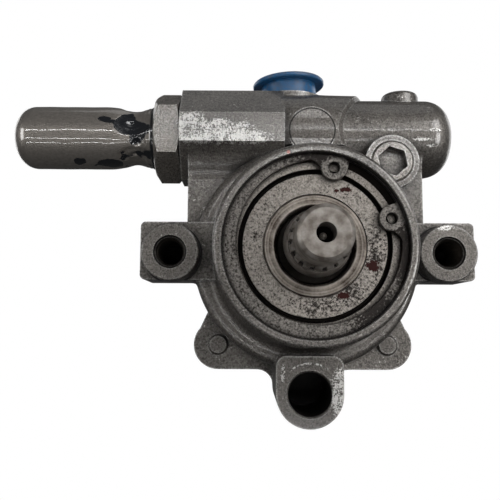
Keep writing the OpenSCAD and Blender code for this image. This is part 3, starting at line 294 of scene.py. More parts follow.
def spots(tree, place, marks):
    """How far inside the nearest of some patches a point is: 1 in the middle, 0 from the edge."""
    cover = 0.0
    for middle, reach in marks:
        away = add(tree, "VectorMath", {0: place, 1: Vector(middle) * MM}, operation="SUBTRACT")
        away = add(tree, "VectorMath", {0: away, 1: Vector(reach) * MM}, operation="DIVIDE")
        away = add(tree, "VectorMath", {0: away}, "Value", operation="LENGTH")
        inside = add(tree, "Math", {0: 1.0, 1: away}, operation="SUBTRACT", use_clamp=True)
        cover = add(tree, "Math", {0: cover, 1: inside}, operation="MAXIMUM")
    return cover


def off_axis(tree, place, middle=AXIS):
    """Distance of a point from a front-to-back axis."""
    shift = (-middle[0] * MM, 0, -middle[1] * MM)
    flat = add(tree, "VectorMath", {0: place, 1: (1, 0, 1), 2: shift}, operation="MULTIPLY_ADD")
    return add(tree, "VectorMath", {0: flat}, "Value", operation="LENGTH")


def band(tree, place, middle, low, high, soft=0.08):
    """Cover of a ring round a front-to-back axis: 1 between two radii, 0 past its soft edges."""
    radius = off_axis(tree, place, middle)
    inner = {"Value": radius, "From Min": (low - soft) * MM, "From Max": low * MM}
    outer = {"Value": radius, "From Min": (high + soft) * MM, "From Max": high * MM}
    sides = {0: add(tree, "MapRange", inner), 1: add(tree, "MapRange", outer)}
    return add(tree, "Math", sides, operation="MULTIPLY")


def dress(node, material):
    """Give a CAD node one material."""
    obj = NODES[node]
    obj.data.materials.clear()
    obj.data.materials.append(material)


def round_edges(node, width, segments=3):
    """Round the sharp edges of a CAD node with modifiers."""
    obj = NODES[node]
    weld = obj.modifiers.new("Join faces", "WELD")
    weld.merge_threshold = SEAM * MM
    bevel = obj.modifiers.new("Round edges", "BEVEL")
    bevel.width = width
    bevel.segments = segments
    bevel.limit_method = "ANGLE"
    bevel.angle_limit = math.radians(LEAST_ANGLE)
    flatten = obj.modifiers.new("Flat faces", "WEIGHTED_NORMAL")
    flatten.keep_sharp = True


def mesh_piece(name, points, faces, material):
    """A smooth mesh piece that rides on the pump body."""
    mesh = bpy.data.meshes.new(name)
    mesh.from_pydata(points, [], faces)
    mesh.polygons.foreach_set("use_smooth", [True] * len(faces))
    mesh.materials.append(material)
    obj = bpy.data.objects.new(name, mesh)
    bpy.context.scene.collection.objects.link(obj)
    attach(obj, "pump_body")
    return obj


class PumpFinishes(bpy.types.PropertyGroup):
    """Colours of the pump's surfaces."""

    paint: bpy.props.FloatVectorProperty(
        name="Paint",
        description="Sprayed cast-grey paint",
        subtype="COLOR",
        default=linear("#918c86"),
    )
    paint_shade: bpy.props.FloatVectorProperty(
        name="Paint Shade",
        description="Paint where it lies thin or dirty",
        subtype="COLOR",
        default=linear("#3d3a37"),
    )
    # Black painted into corners, gaps and holes as their shade
    shade_black: bpy.props.FloatVectorProperty(
        name="Grime",
        description="Dirt in corners and gaps",
        subtype="COLOR",
        default=linear("#14110f"),
    )
    bare: bpy.props.FloatVectorProperty(
        name="Bare Metal",
        description="Metal where the paint is scuffed off",
        subtype="COLOR",
        default=linear("#e2e0dc"),
    )
    fleck: bpy.props.FloatVectorProperty(
        name="Fleck",
        description="Red fleck on the pilot's rim",
        subtype="COLOR",
        default=linear("#b06a60"),
    )
    # Also drawn on the fitting, plug and dust cap as a lighter copy of the spray: painted sheen for
    # their gloss
    thin_paint_and_sheen: bpy.props.FloatVectorProperty(
        name="Thin Paint",
        description="The spray where smooth steel shows through",
        subtype="COLOR",
        default=linear("#b3aca4"),
    )
    thin_shade: bpy.props.FloatVectorProperty(
        name="Thin Paint Shade",
        description="Darker grains of the thin spray",
        subtype="COLOR",
        default=linear("#6f6a64"),
    )
    specks: bpy.props.FloatVectorProperty(
        name="Specks",
        description="Dark steel between the grains of the spray",
        subtype="COLOR",
        default=linear("#241f1c"),
    )
    chip: bpy.props.FloatVectorProperty(
        name="Old Primer",
        description="Dark red primer in the chips",
        subtype="COLOR",
        default=linear("#3a2220"),
    )
    race: bpy.props.FloatVectorProperty(
        name="Race Steel",
        description="Ground steel of the inner race",
        subtype="COLOR",
        default=linear("#b5aca2"),
    )
    race_stain: bpy.props.FloatVectorProperty(
        name="Race Stain",
        description="Brown stains on the inner race",
        subtype="COLOR",
        default=linear("#4b423b"),
    )
    # Dark at the inner race's bore: painted shade of the gap round the shaft
    race_shade: bpy.props.FloatVectorProperty(
        name="Race Oil",
        description="Oil at the inner race's bore",
        subtype="COLOR",
        default=linear("#2a2522"),
    )
    shaft: bpy.props.FloatVectorProperty(
        name="Shaft Steel",
        description="Worn steel of the drive shaft",
        subtype="COLOR",
        default=linear("#aca69f"),
    )
    shaft_stain: bpy.props.FloatVectorProperty(
        name="Shaft Stain",
        description="Stains on the drive shaft",
        subtype="COLOR",
        default=linear("#736b64"),
    )
    vinyl: bpy.props.FloatVectorProperty(
        name="Vinyl",
        description="Black vinyl of the dust cap",
        subtype="COLOR",
        default=linear("#0c1016"),
    )
    plug: bpy.props.FloatVectorProperty(
        name="Plug",
        description="Blue plastic of the inlet plug",
        subtype="COLOR",
        default=linear("#1d6092"),
    )
    overspray: bpy.props.FloatVectorProperty(
        name="Overspray",
        description="Grey spray that dusts the inlet plug",
        subtype="COLOR",
        default=linear("#55565a"),
    )
    edge: bpy.props.FloatProperty(
        name="Cast Edge",
        description="Rounding of the casting's edges",
        unit="LENGTH",
        default=0.7 * MM,
    )


class PumpCap(bpy.types.PropertyGroup):
    """Sizes of the soft dust cap."""

    wall: bpy.props.FloatProperty(
        name="Wall", description="Wall of the cap", unit="LENGTH", default=1.3 * MM
    )
    end_rounding: bpy.props.FloatProperty(
        name="End Rounding",
        description="Rounding of the closed end",
        unit="LENGTH",
        default=6.5 * MM,
    )
    neck_sink: bpy.props.FloatProperty(
        name="Neck Sink",
        description="How far the neck has sunk all round",
        unit="LENGTH",
        default=0.8 * MM,
    )


class PumpThread(bpy.types.PropertyGroup):
    """Sizes of the threads cut in the side lugs."""

    pitch: bpy.props.FloatProperty(
        name="Pitch", description="Pitch of the thread", unit="LENGTH", default=1.25 * MM
    )
    depth: bpy.props.FloatProperty(
        name="Depth", description="Height of the crests", unit="LENGTH", default=0.6 * MM
    )
    start: bpy.props.FloatProperty(
        name="Start", description="First turn behind the pad", unit="LENGTH", default=0.9 * MM
    )
    end: bpy.props.FloatProperty(
        name="End", description="Last turn behind the pad", unit="LENGTH", default=17 * MM
    )


class PumpStudio(bpy.types.PropertyGroup):
    """Camera and light."""

    camera_place: bpy.props.FloatVectorProperty(
        name="Camera Place",
        description="Where the camera stands",
        subtype="TRANSLATION",
        default=(-16.6 * MM, -180.2 * MM, -19.7 * MM),
    )
    camera_pitch: bpy.props.FloatProperty(
        name="Camera Pitch",
        description="How far the camera looks up",
        unit="ROTATION",
        default=math.radians(6.41),
    )
    camera_roll: bpy.props.FloatProperty(
        name="Camera Roll",
        description="Lean of the camera",
        unit="ROTATION",
        default=math.radians(0.33),
    )
    lens: bpy.props.FloatProperty(
        name="Lens", description="Focal length in millimetres", default=46.8
    )
    light: bpy.props.FloatProperty(
        name="Light", description="Power that scales every lamp, in watts", default=9.4
    )


class PUMP_OT_castings(bpy.types.Operator):
    """Paint the housing, cover, outlet fitting and gallery plug"""

    bl_idname = "pump.castings"
    bl_label = "Castings"

    def execute(self, context):
        finishes = context.scene.pump_finishes
        dark = (finishes.paint_shade, finishes.paint)
        paint = sprayed_paint("Sprayed metallic paint on cast metal", finishes, dark)
        for node in ("housing", "rear_cover"):
            dress(node, paint)
            round_edges(node, finishes.edge)
        # A lighter copy of the same spray on the turned fitting and plug: painted sheen standing in for
        # their brighter gloss
        light = (finishes.paint_shade, finishes.thin_paint_and_sheen)
        paint = sprayed_paint("Sprayed metallic paint on turned steel", finishes, light)
        for node, edge in (("outlet_fitting", 0.35), ("gallery_plug", 0.25)):
            dress(node, paint)
            round_edges(node, edge * MM)
        return {"FINISHED"}


def sprayed_paint(name, finishes, colours):
    """Semi-gloss metallic spray over rough metal: grainy, scuffed bright, with painted shade dark in
    corners and a few painted highlights.
    """
    material, tree, place = new_material(name)
    # The paint's metal flake is drawn coarser than it is so that it shows at the photo's size
    flake = add(tree, "TexNoise", {"Vector": place, "Scale": 1 / (0.4 * MM), "Detail": 2.0})
    grain = add(
        tree, "TexNoise", {"Vector": place, "Scale": 1 / (0.8 * MM), "Detail": 4.0, "Roughness": 0.65}
    )
    cloud = add(tree, "TexNoise", {"Vector": place, "Scale": 1 / (12 * MM), "Detail": 3.0})
    sparkle = add(tree, "MapRange", {"Value": flake, "From Min": 0.3, "From Max": 0.7})
    coarse = add(tree, "MapRange", {"Value": grain, "From Min": 0.36, "From Max": 0.64})
    tone = add(tree, "Math", {0: cloud, 1: 0.7, 2: -0.24}, operation="MULTIPLY_ADD")
    tone = add(tree, "Math", {0: coarse, 1: 0.4, 2: tone}, operation="MULTIPLY_ADD")
    tone = add(
        tree, "Math", {0: sparkle, 1: 0.4, 2: tone}, operation="MULTIPLY_ADD", use_clamp=True
    )
    # Bare metal where scuffed, with a few painted highlights among the scuffs
    worn = worn_and_glinting(tree, place, flake, grain)
    fleck = add(tree, "MapRange", {"Value": spots(tree, place, FLECK), "From Max": 0.3})
    # Sharp edges lightened toward bare metal: thin spray, partly a painted highlight
    edge = add(tree, "Math", {0: sharp_edges(tree), 1: sparkle}, operation="MULTIPLY")
    # Painted shade: corners, patches, holes and rings darkened toward black
    painted_shade = casting_shade(tree, place)
    shade, paint = colours
    colour = layered(
        tree,
        shade,
        (tone, paint),
        (worn, finishes.bare),
        (fleck, finishes.fleck),
        (edge, finishes.bare),
        (painted_shade, finishes.shade_black),
    )
    dull = add(
        tree,
        "MapRange",
        {"Value": grain, "From Min": 0.35, "From Max": 0.7, "To Min": 0.56, "To Max": 0.38},
    )
    finish(
        tree,
        {
            "Base Color": colour,
            "Metallic": add(tree, "MapRange", {"Value": painted_shade, "To Min": 0.85, "To Max": 0.3}),
            "Roughness": add(tree, "Mix", {"Factor": worn, 2: dull, 3: 0.36}),
            "Normal": add(tree, "Bump", {"Strength": 0.7, "Distance": 0.3 * MM, "Height": grain}),
            "Coat Weight": add(tree, "MapRange", {"Value": painted_shade, "To Min": 0.6, "To Max": 0.0}),
            "Coat Roughness": 0.16,
            "Coat IOR": 1.9,
            "Coat Normal": add(tree, "Bump", {"Strength": 0.2, "Distance": 0.08 * MM, "Height": grain}),
        },
    )
    return material


def worn_and_glinting(tree, place, flake, grain):
    """Where the colour turns to bare metal: ragged scuffs, a few painted highlights among them, and the
    broken arc round the bottom hole.
    """
    patchy = add(tree, "TexNoise", {"Vector": place, "Scale": 1 / (3 * MM), "Detail": 2.0})
    ragged = add(tree, "Math", {0: flake, 1: 0.5, 2: grain}, operation="MULTIPLY_ADD")
    ragged = add(tree, "Math", {0: patchy, 1: 0.8, 2: ragged}, operation="MULTIPLY_ADD")
    # Scuff patches, the last three of them painted highlights
    scuffed = add(tree, "Math", {0: spots(tree, place, SCUFFS_AND_HIGHLIGHTS), 1: 0.45}, operation="MINIMUM")
    scuffed = add(tree, "Math", {0: scuffed, 1: 0.86, 2: ragged}, operation="MULTIPLY_ADD")
    scuffed = add(tree, "MapRange", {"Value": scuffed, "From Min": 1.44, "From Max": 1.58})
    arc = spots(tree, place, ARC_PATCH)
    shown = add(tree, "Math", {0: arc, 1: 1.6, 2: patchy}, operation="MULTIPLY_ADD")
    shown = add(tree, "MapRange", {"Value": shown, "From Min": 0.75, "From Max": 1.1})
    broken = add(tree, "MapRange", {"Value": grain, "From Min": 0.46, "From Max": 0.56})
    shown = add(tree, "Math", {0: shown, 1: broken}, operation="MULTIPLY")
    scratch = band(tree, place, BOTTOM, *ARC_RADII, LINE_SOFT)
    scratch = add(tree, "Math", {0: scratch, 1: shown}, operation="MULTIPLY")
    return add(tree, "Math", {0: scuffed, 1: scratch}, operation="MAXIMUM")


def sharp_edges(tree):
    """Where the surface turns sharply: the spray is thin on such edges, which catch the light, and
    their lighter colour is partly a painted highlight.
    """
    rounded = add(tree, "Bevel", {"Radius": EDGE_WEAR_AND_SHEEN * MM}, samples=6)
    straight = add(tree, "NewGeometry", output="Normal")
    agree = add(tree, "VectorMath", {0: rounded, 1: straight}, "Value", operation="DOT_PRODUCT")
    return add(tree, "MapRange", {"Value": agree, "From Min": 0.98, "From Max": 0.88, "To Max": 0.85})


def casting_shade(tree, place):
    """Painted shade: dark in corners, in patches, inside the holes and in fine lines round the front's
    rings, with one patch kept pale.
    """
    # Darkening in corners is painted shade
    corner = add(tree, "AmbientOcclusion", {"Distance": 5 * MM}, "AO", samples=8)
    painted_shade = add(tree, "MapRange", {"Value": corner, "From Min": 0.88, "From Max": 0.3, "To Max": 0.88})
    patch_shade = spots(tree, place, SHADE_PATCHES)
    painted_shade = add(tree, "Math", {0: patch_shade, 1: 0.85, 2: painted_shade}, operation="MULTIPLY_ADD")
    # Painted light: the painted shade is taken off over the hollow above the bottom lug
    clean = spots(tree, place, UNSHADED)
    painted_shade = add(tree, "Math", {0: clean, 1: -0.9, 2: painted_shade}, operation="MULTIPLY_ADD", use_clamp=True)
    # The holes are painted black inside as their shade
    for middle, low, high in SHADED_HOLES:
        hole = band(tree, place, middle, low, high)
        painted_shade = add(tree, "Math", {0: painted_shade, 1: hole}, operation="MAXIMUM")
    depth = add(tree, "SeparateXYZ", {0: place}, "Y")
    start, end = SHADOW_RINGS_END
    front = add(tree, "MapRange", {"Value": depth, "From Min": end * MM, "From Max": start * MM})
    # Fine lines of painted shadow round the front's rings
    for middle, low, high in SHADOW_RINGS:
        line = band(tree, place, middle, low, high, LINE_SOFT)
        line = add(tree, "Math", {0: front, 1: line}, operation="MULTIPLY")
        painted_shade = add(tree, "Math", {0: painted_shade, 1: line}, operation="MAXIMUM")
    return painted_shade


class PUMP_OT_bearing(bpy.types.Operator):
    """Finish the retaining ring and the ball bearing"""

    bl_idname = "pump.bearing"
    bl_label = "Bearing"

    def execute(self, context):
        finishes = context.scene.pump_finishes
        light = (finishes.thin_shade, finishes.thin_paint_and_sheen)
        dark = (finishes.paint_shade, finishes.paint)
        paint = chipped_paint(
            "Sprayed metallic paint on bearing steel", finishes, light, THIN, 0.2
        )
        black = chipped_paint(
            "Sprayed metallic paint on black spring steel", finishes, dark, BLACK_RING, 0.42, EYES
        )
        shown = {
            "retaining_ring": black,
            "bearing_outer_race": paint,
            "bearing_front_shield": paint,
            "bearing_inner_race": stained_steel(finishes),
        }
        for node, material in shown.items():
            dress(node, material)
            round_edges(node, FINE_EDGE * MM, segments=2)
        # Plated sheet is pale and half dull, lapped balls shine, and stamped brass is warm and dull
        sheet = plain_metal("Pressed zinc-plated steel", "#8f8f8d", 0.8, 0.3, 0.5)
        dress("bearing_rear_shield", sheet)
        dress("bearing_balls", plain_metal("Lapped ball steel", "#b4b2ae", 2.0, 0.06, 0.12))
        dress("bearing_cage", plain_metal("Stamped cage brass", "#a5824a", 0.8, 0.25, 0.42))
        return {"FINISHED"}


def chipped_paint(name, finishes, colours, bare, weight, covered=()):
    """The same spray over steel: dark specks, chips to dark red primer, and painted shade dark in
    corners and black in the grooves.

    Specks gather in the bare patches by the given weight, and keep off the covered ones.
    """
    material, tree, place = new_material(name)
    # The specks are drawn coarser than real overspray so that they show at the photo's size
    speck = add(
        tree, "TexNoise", {"Vector": place, "Scale": 1 / (0.55 * MM), "Detail": 3.0, "Roughness": 0.7}
    )
    fine = add(tree, "TexNoise", {"Vector": place, "Scale": 1 / (0.4 * MM), "Detail": 2.0})
    cloud = add(tree, "TexNoise", {"Vector": place, "Scale": 1 / (7 * MM), "Detail": 3.0})
    tone = add(tree, "Math", {0: fine, 1: 0.6, 2: speck}, operation="MULTIPLY_ADD")
    tone = add(tree, "MapRange", {"Value": tone, "From Min": 0.98, "From Max": 0.62})
    thin = spots(tree, place, bare)
    if covered:
        sprayed = spots(tree, place, covered)
        thin = add(tree, "Math", {0: sprayed, 1: -2.0, 2: thin}, operation="MULTIPLY_ADD")
    thin = add(tree, "Math", {0: thin, 1: weight, 2: speck}, operation="MULTIPLY_ADD")
    thin = add(tree, "Math", {0: cloud, 1: 0.3, 2: thin}, operation="MULTIPLY_ADD")
    thin = add(tree, "MapRange", {"Value": thin, "From Min": 0.72, "From Max": 0.86})
    chipped = add(tree, "Math", {0: spots(tree, place, CHIPS), 1: speck}, operation="ADD")
    chipped = add(tree, "MapRange", {"Value": chipped, "From Min": 0.86, "From Max": 0.96})
    # Darkening in corners is painted shade
    corner = add(tree, "AmbientOcclusion", {"Distance": 1.6 * MM}, "AO", samples=8)
    painted_shade = add(tree, "MapRange", {"Value": corner, "From Min": 0.92, "From Max": 0.45})
    # Behind the retaining ring's face the gaps are painted black as their shade
    depth = add(tree, "SeparateXYZ", {0: place}, "Y")
    start, end = SHADED_GAPS_START
    deep = add(tree, "MapRange", {"Value": depth, "From Min": start * MM, "From Max": end * MM})
    for low, high in SHADED_GAPS:
        gap = band(tree, place, AXIS, low, high)
        gap = add(tree, "Math", {0: gap, 1: deep}, operation="MULTIPLY")
        painted_shade = add(tree, "Math", {0: painted_shade, 1: gap}, operation="MAXIMUM")
    shade, paint = colours
    colour = layered(
        tree,
        shade,
        (tone, paint),
        (thin, finishes.specks),
        (chipped, finishes.chip),
        (painted_shade, finishes.shade_black),
    )
    dead = add(tree, "Math", {0: chipped, 1: painted_shade}, operation="MAXIMUM")
    finish(
        tree,
        {
            "Base Color": colour,
            "Metallic": add(tree, "MapRange", {"Value": dead, "To Min": 0.65, "To Max": 0.0}),
            "Roughness": 0.46,
            "Specular IOR Level": add(tree, "MapRange", {"Value": dead, "To Min": 0.5, "To Max": 0.04}),
            "Normal": add(tree, "Bump", {"Strength": 0.8, "Distance": 0.2 * MM, "Height": speck}),
        },
    )
    return material


def stained_steel(finishes):
    """Ground race steel: fine rings round the axis, brown oil stains, painted shade darkening it toward
    the bore, and a warm soft gloss.
    """
    material, tree, place = new_material("Ground race steel")
    radius = off_axis(tree, place)
    stain = add(tree, "TexNoise", {"Vector": place, "Scale": 1 / (3.5 * MM), "Detail": 4.0})
    speck = add(tree, "TexNoise", {"Vector": place, "Scale": 1 / (0.5 * MM), "Detail": 3.0})
    # The grinding rings are drawn coarser than real ones so that they show at the photo's size
    ring = add(
        tree, "TexNoise", {"W": radius, "Scale": 1 / (0.7 * MM), "Detail": 2.0}, noise_dimensions="1D"
    )
    tone = add(tree, "Math", {0: ring, 1: 0.8, 2: stain}, operation="MULTIPLY_ADD")
    tone = add(tree, "Math", {0: speck, 1: 0.4, 2: tone}, operation="MULTIPLY_ADD")
    tone = add(tree, "MapRange", {"Value": tone, "From Min": 0.8, "From Max": 1.4})
    # Painted shade: the race darkens toward its bore, where the gap round the shaft lies in shade
    start, end = RACE_SHADE
    shadowed = add(tree, "MapRange", {"Value": radius, "From Min": start * MM, "From Max": end * MM})
    finish(
        tree,
        {
            "Base Color": layered(
                tree, finishes.race_stain, (tone, finishes.race), (shadowed, finishes.race_shade)
            ),
            "Metallic": 0.9,
            "Roughness": add(tree, "MapRange", {"Value": stain, "To Min": 0.3, "To Max": 0.5}),
            "Normal": add(tree, "Bump", {"Strength": 0.4, "Distance": 0.06 * MM, "Height": tone}),
        },
    )
    return material


def plain_metal(name, colour, grain, gloss, dull):
    """A clean metal whose gloss is broken by a lay of the given size in millimetres.

    The lay is drawn coarser than a real one so that it shows at the photo's size.
    """
    material, tree, place = new_material(name)
    lay = add(tree, "TexNoise", {"Vector": place, "Scale": 1 / (grain * MM), "Detail": 3.0})
    finish(
        tree,
        {
            "Base Color": rgba(linear(colour)),
            "Metallic": 1.0,
            "Roughness": add(tree, "MapRange", {"Value": lay, "To Min": gloss, "To Max": dull}),
            "Normal": add(tree, "Bump", {"Strength": 0.2, "Distance": 0.02 * MM, "Height": lay}),
        },
    )
    return material


class PUMP_OT_shaft(bpy.types.Operator):
    """Finish the splined drive shaft"""

    bl_idname = "pump.shaft"
    bl_label = "Drive Shaft"

    def execute(self, context):
        dress("drive_shaft", turned_steel(context.scene.pump_finishes))
        round_edges("drive_shaft", FINE_EDGE * MM, segments=2)
        return {"FINISHED"}


def turned_steel(finishes):
    """Turned and hobbed steel gone grey: streaks round the axis, with painted shade black toward the
    bearing, in corners and in the centre drilling.
    """
    material, tree, place = new_material("Turned shaft steel")
    # The turning marks are drawn coarser than real ones so that they show at the photo's size
    turned = add(tree, "VectorMath", {0: place, 1: (0.25, 6.0, 0.25)}, operation="MULTIPLY")
    lay = add(tree, "TexNoise", {"Vector": turned, "Scale": 1 / (1.2 * MM), "Detail": 4.0})
    stain = add(tree, "TexNoise", {"Vector": place, "Scale": 1 / (2.5 * MM), "Detail": 4.0})
    tone = add(tree, "MapRange", {"Value": stain, "From Min": 0.35, "From Max": 0.65})
    # Painted shade: the shaft turns black toward the bearing, behind its collar
    along = add(tree, "SeparateXYZ", {0: place}, "Y")
    start, end = SHAFT_SHADE
    shadowed = add(
        tree, "MapRange", {"Value": along, "From Min": start * MM, "From Max": end * MM, "To Max": 0.97}
    )
    # Darkening in corners and in the centre drilling is painted shade
    corner = add(tree, "AmbientOcclusion", {"Distance": 1.5 * MM}, "AO", samples=8)
    painted_shade = add(tree, "MapRange", {"Value": corner, "From Min": 0.8, "From Max": 0.25})
    hole = band(tree, place, AXIS, *SHAFT_DRILLING)
    colour = layered(
        tree,
        finishes.shaft_stain,
        (tone, finishes.shaft),
        (shadowed, finishes.shade_black),
        (painted_shade, finishes.shade_black),
        (hole, finishes.shade_black),
    )
    dark = add(tree, "Math", {0: shadowed, 1: hole}, operation="MAXIMUM")
    finish(
        tree,
        {
            "Base Color": colour,
            "Metallic": add(tree, "MapRange", {"Value": dark, "To Min": 0.7, "To Max": 0.0}),
            "Roughness": add(tree, "MapRange", {"Value": lay, "To Min": 0.3, "To Max": 0.55}),
            "Specular IOR Level": add(tree, "MapRange", {"Value": dark, "To Min": 0.5, "To Max": 0.04}),
            "Normal": add(tree, "Bump", {"Strength": 0.3, "Distance": 0.05 * MM, "Height": lay}),
        },
    )
    return material


class PUMP_OT_inner_parts(bpy.types.Operator):
    """Finish the seal, pumping set, bolts and flow valve"""

    bl_idname = "pump.inner_parts"
    bl_label = "Inner Parts"

    def execute(self, context):
        # Ground faces give a soft even gloss
        ground = plain_metal("Ground tool steel", "#9b9893", 0.5, 0.22, 0.4)
        plates = ("rotor", "cam_ring", "thrust_plate", "pressure_plate", "dowel_pins", "flow_spool")
        vanes = [node for node in NODES if node.startswith("vane_")]
        for node in (*plates, *vanes):
            dress(node, ground)
        # Lapped steel shines
        lapped = plain_metal("Lapped valve steel", "#b4b2ae", 1.0, 0.08, 0.16)
        for node in ("relief_ball", "relief_seat"):
            dress(node, lapped)
        # Drawn wire is darker, with a waxy gloss
        wire = plain_metal("Drawn spring wire", "#6f6d6a", 0.6, 0.25, 0.4)
        springs = ("flow_spring", "relief_spring", "seal_garter_spring", "plate_spring")
        for node in (*springs, "rotor_clip"):
            dress(node, wire)
        # Drawn sheet is grey and half dull, sintered bronze is warm and matt, plated bolts are pale
        dress("seal_case", plain_metal("Deep-drawn seal steel", "#85847f", 0.9, 0.3, 0.48))
        dress("shaft_bush", plain_metal("Sintered bush bronze", "#8c6a45", 0.4, 0.4, 0.6))
        plated = plain_metal("Zinc-plated bolt steel", "#a2a19a", 0.7, 0.25, 0.45)
        dress("rear_cover_bolts", plated)
        round_edges("rear_cover_bolts", 0.3 * MM)
        # Moulded rubber is black and dull, with a faint bloom
        material, tree, place = new_material("Moulded nitrile rubber")
        bloom = add(tree, "TexNoise", {"Vector": place, "Scale": 1 / (1.5 * MM), "Detail": 3.0})
        rough = add(tree, "MapRange", {"Value": bloom, "To Min": 0.45, "To Max": 0.65})
        finish(tree, {"Base Color": rgba(linear("#1b1a19")), "Roughness": rough, "IOR": 1.52})
        for node in ("cover_o_ring", "fitting_o_ring", "plate_o_ring", "seal_lip"):
            dress(node, material)
        return {"FINISHED"}


class PUMP_OT_springs(bpy.types.Operator):
    """Put copies of the two valve springs on their joints' parent bodies"""

    bl_idname = "pump.springs"
    bl_label = "Springs"

    def execute(self, context):
        for joint in frame["record"]["behaviour"]["joints"]:
            for entry in joint.get("deforming_nodes", ()):
                shortening_spring(joint, entry["node"])
        return {"FINISHED"}


def shortening_spring(joint, node):
    """A coil of the node's own shape, riding on the joint's parent body in place of the hidden node."""
    obj = bpy.data.objects.new(f"{node}_coil", NODES[node].data.copy())
    bpy.context.scene.collection.objects.link(obj)
    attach(obj, joint["parent"])
    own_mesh(obj)
    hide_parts(node)


class PUMP_OT_inlet_plug(bpy.types.Operator):
    """Finish the blue inlet plug"""

    bl_idname = "pump.inlet_plug"
    bl_label = "Inlet Plug"

    def execute(self, context):
        dress("inlet_plug", dusted_plastic(context.scene.pump_finishes))
        return {"FINISHED"}


def dusted_plastic(finishes):
    """Moulded polyethylene with a waxy gloss, dusted grey by the spray on its front and its rim; the
    grey rim is partly painted shade on the flange.
    """
    material, tree, place = new_material("Moulded polyethylene with overspray")
    dust = add(
        tree, "TexNoise", {"Vector": place, "Scale": 1 / (1.6 * MM), "Detail": 4.0, "Roughness": 0.7}
    )
    facing = add(tree, "SeparateXYZ", {0: add(tree, "NewGeometry", output="Normal")}, "Y")
    front = add(tree, "MapRange", {"Value": facing, "From Min": 0.1, "From Max": -0.9, "To Max": 0.12})
    height = add(tree, "SeparateXYZ", {0: place}, "Z")
    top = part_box("inlet_plug")[1].z
    start, end = PLUG_RIM_SPRAY_AND_SHADE
    rim = add(
        tree,
        "MapRange",
        {"Value": height, "From Min": top - start * MM, "From Max": top - end * MM, "To Max": 0.2},
    )
    sprayed = add(tree, "Math", {0: front, 1: dust}, operation="ADD")
    sprayed = add(tree, "Math", {0: sprayed, 1: rim}, operation="ADD")
    sprayed = add(tree, "MapRange", {"Value": sprayed, "From Min": 0.5, "From Max": 1.0})
    finish(
        tree,
        {
            "Base Color": layered(tree, finishes.plug, (sprayed, finishes.overspray)),
            "Roughness": add(tree, "MapRange", {"Value": sprayed, "To Min": 0.32, "To Max": 0.6}),
            "IOR": 1.51,
        },
    )
    return material


class PUMP_OT_dust_cap(bpy.types.Operator):
    """Make the soft dust cap with its fallen neck"""

    bl_idname = "pump.dust_cap"
    bl_label = "Dust Cap"

    def execute(self, context):
        points, faces = cap_mesh(context.scene.pump_cap)
        vinyl = flaked_vinyl(context.scene.pump_finishes)
        obj = mesh_piece("dust_cap", points, faces, vinyl)
        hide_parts("outlet_dust_cap")
        return {"FINISHED"}


def hill(away, reach):
    """A smooth hump: 1 in the middle, almost gone at twice its reach."""
    return math.exp(-((away / reach) ** 2))


def cap_sink(cap, away, turn):
    """How far the cap's wall has sunk at a way from its open end and an angle up from its front."""
    away = away / MM
    sink = cap.neck_sink / MM * hill(away - NECK_MIDDLE, NECK_REACH)
    for middle, angle, length, width, depth in DENTS:
        round_off = math.remainder(turn - math.radians(angle), 2 * math.pi) * NECK_RADIUS
        reach = math.hypot((away - middle) / length, round_off / width)
        sink += depth * hill(reach, 1) * (1 + FOLD_SHARE * math.cos(FOLD_RATE * reach))
    sink += RIB * math.sin(2 * math.pi * away / RIB_PITCH) * hill(away, RIB_REACH)
    sink -= LIP * hill(away, LIP_REACH)
    spot = Vector(
        (away * UNEVEN_ALONG, UNEVEN_ROUND * math.cos(turn), UNEVEN_ROUND * math.sin(turn))
    )
    return (sink + UNEVEN * noise.noise(spot)) * MM


def cap_mesh(cap):
    """Points and faces of the cap, outside first and then back along the inside."""
    low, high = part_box("outlet_dust_cap")
    middle = (low + high) / 2
    radius = (high.z - low.z) / 2
    straight = high.x - low.x - cap.end_rounding
    around, bend_rings, straight_rings = 150, 16, 140
    profile = []
    for inset, step in ((0.0, 1), (cap.wall, -1)):
        bend = cap.end_rounding - inset
        rings = []
        for i in range(1, bend_rings + 1):
            turn = math.pi / 2 * i / bend_rings
            x = low.x + inset + bend * (1 - math.cos(turn))
            rings.append((x, radius - inset - bend * (1 - math.sin(turn))))
        for i in range(1, straight_rings + 1):
            x = low.x + cap.end_rounding + straight * i / straight_rings
            rings.append((x, radius - inset))
        profile.extend(rings[::step])
    points = []
    for x, ring_radius in profile:
        for i in range(around):
            turn = 2 * math.pi * i / around
            reach = ring_radius - cap_sink(cap, high.x - x, turn) * ring_radius / radius
            y = middle.y - reach * math.cos(turn)
            points.append((x, y, middle.z + reach * math.sin(turn)))
    faces = []
    for ring in range(len(profile) - 1):
        here = ring * around
        for i in range(around):
            j = (i + 1) % around
            faces.append((here + i, here + j, here + around + j, here + around + i))
    faces.append(tuple(range(around))[::-1])
    faces.append(tuple(range((len(profile) - 1) * around, len(profile) * around)))
    return points, faces


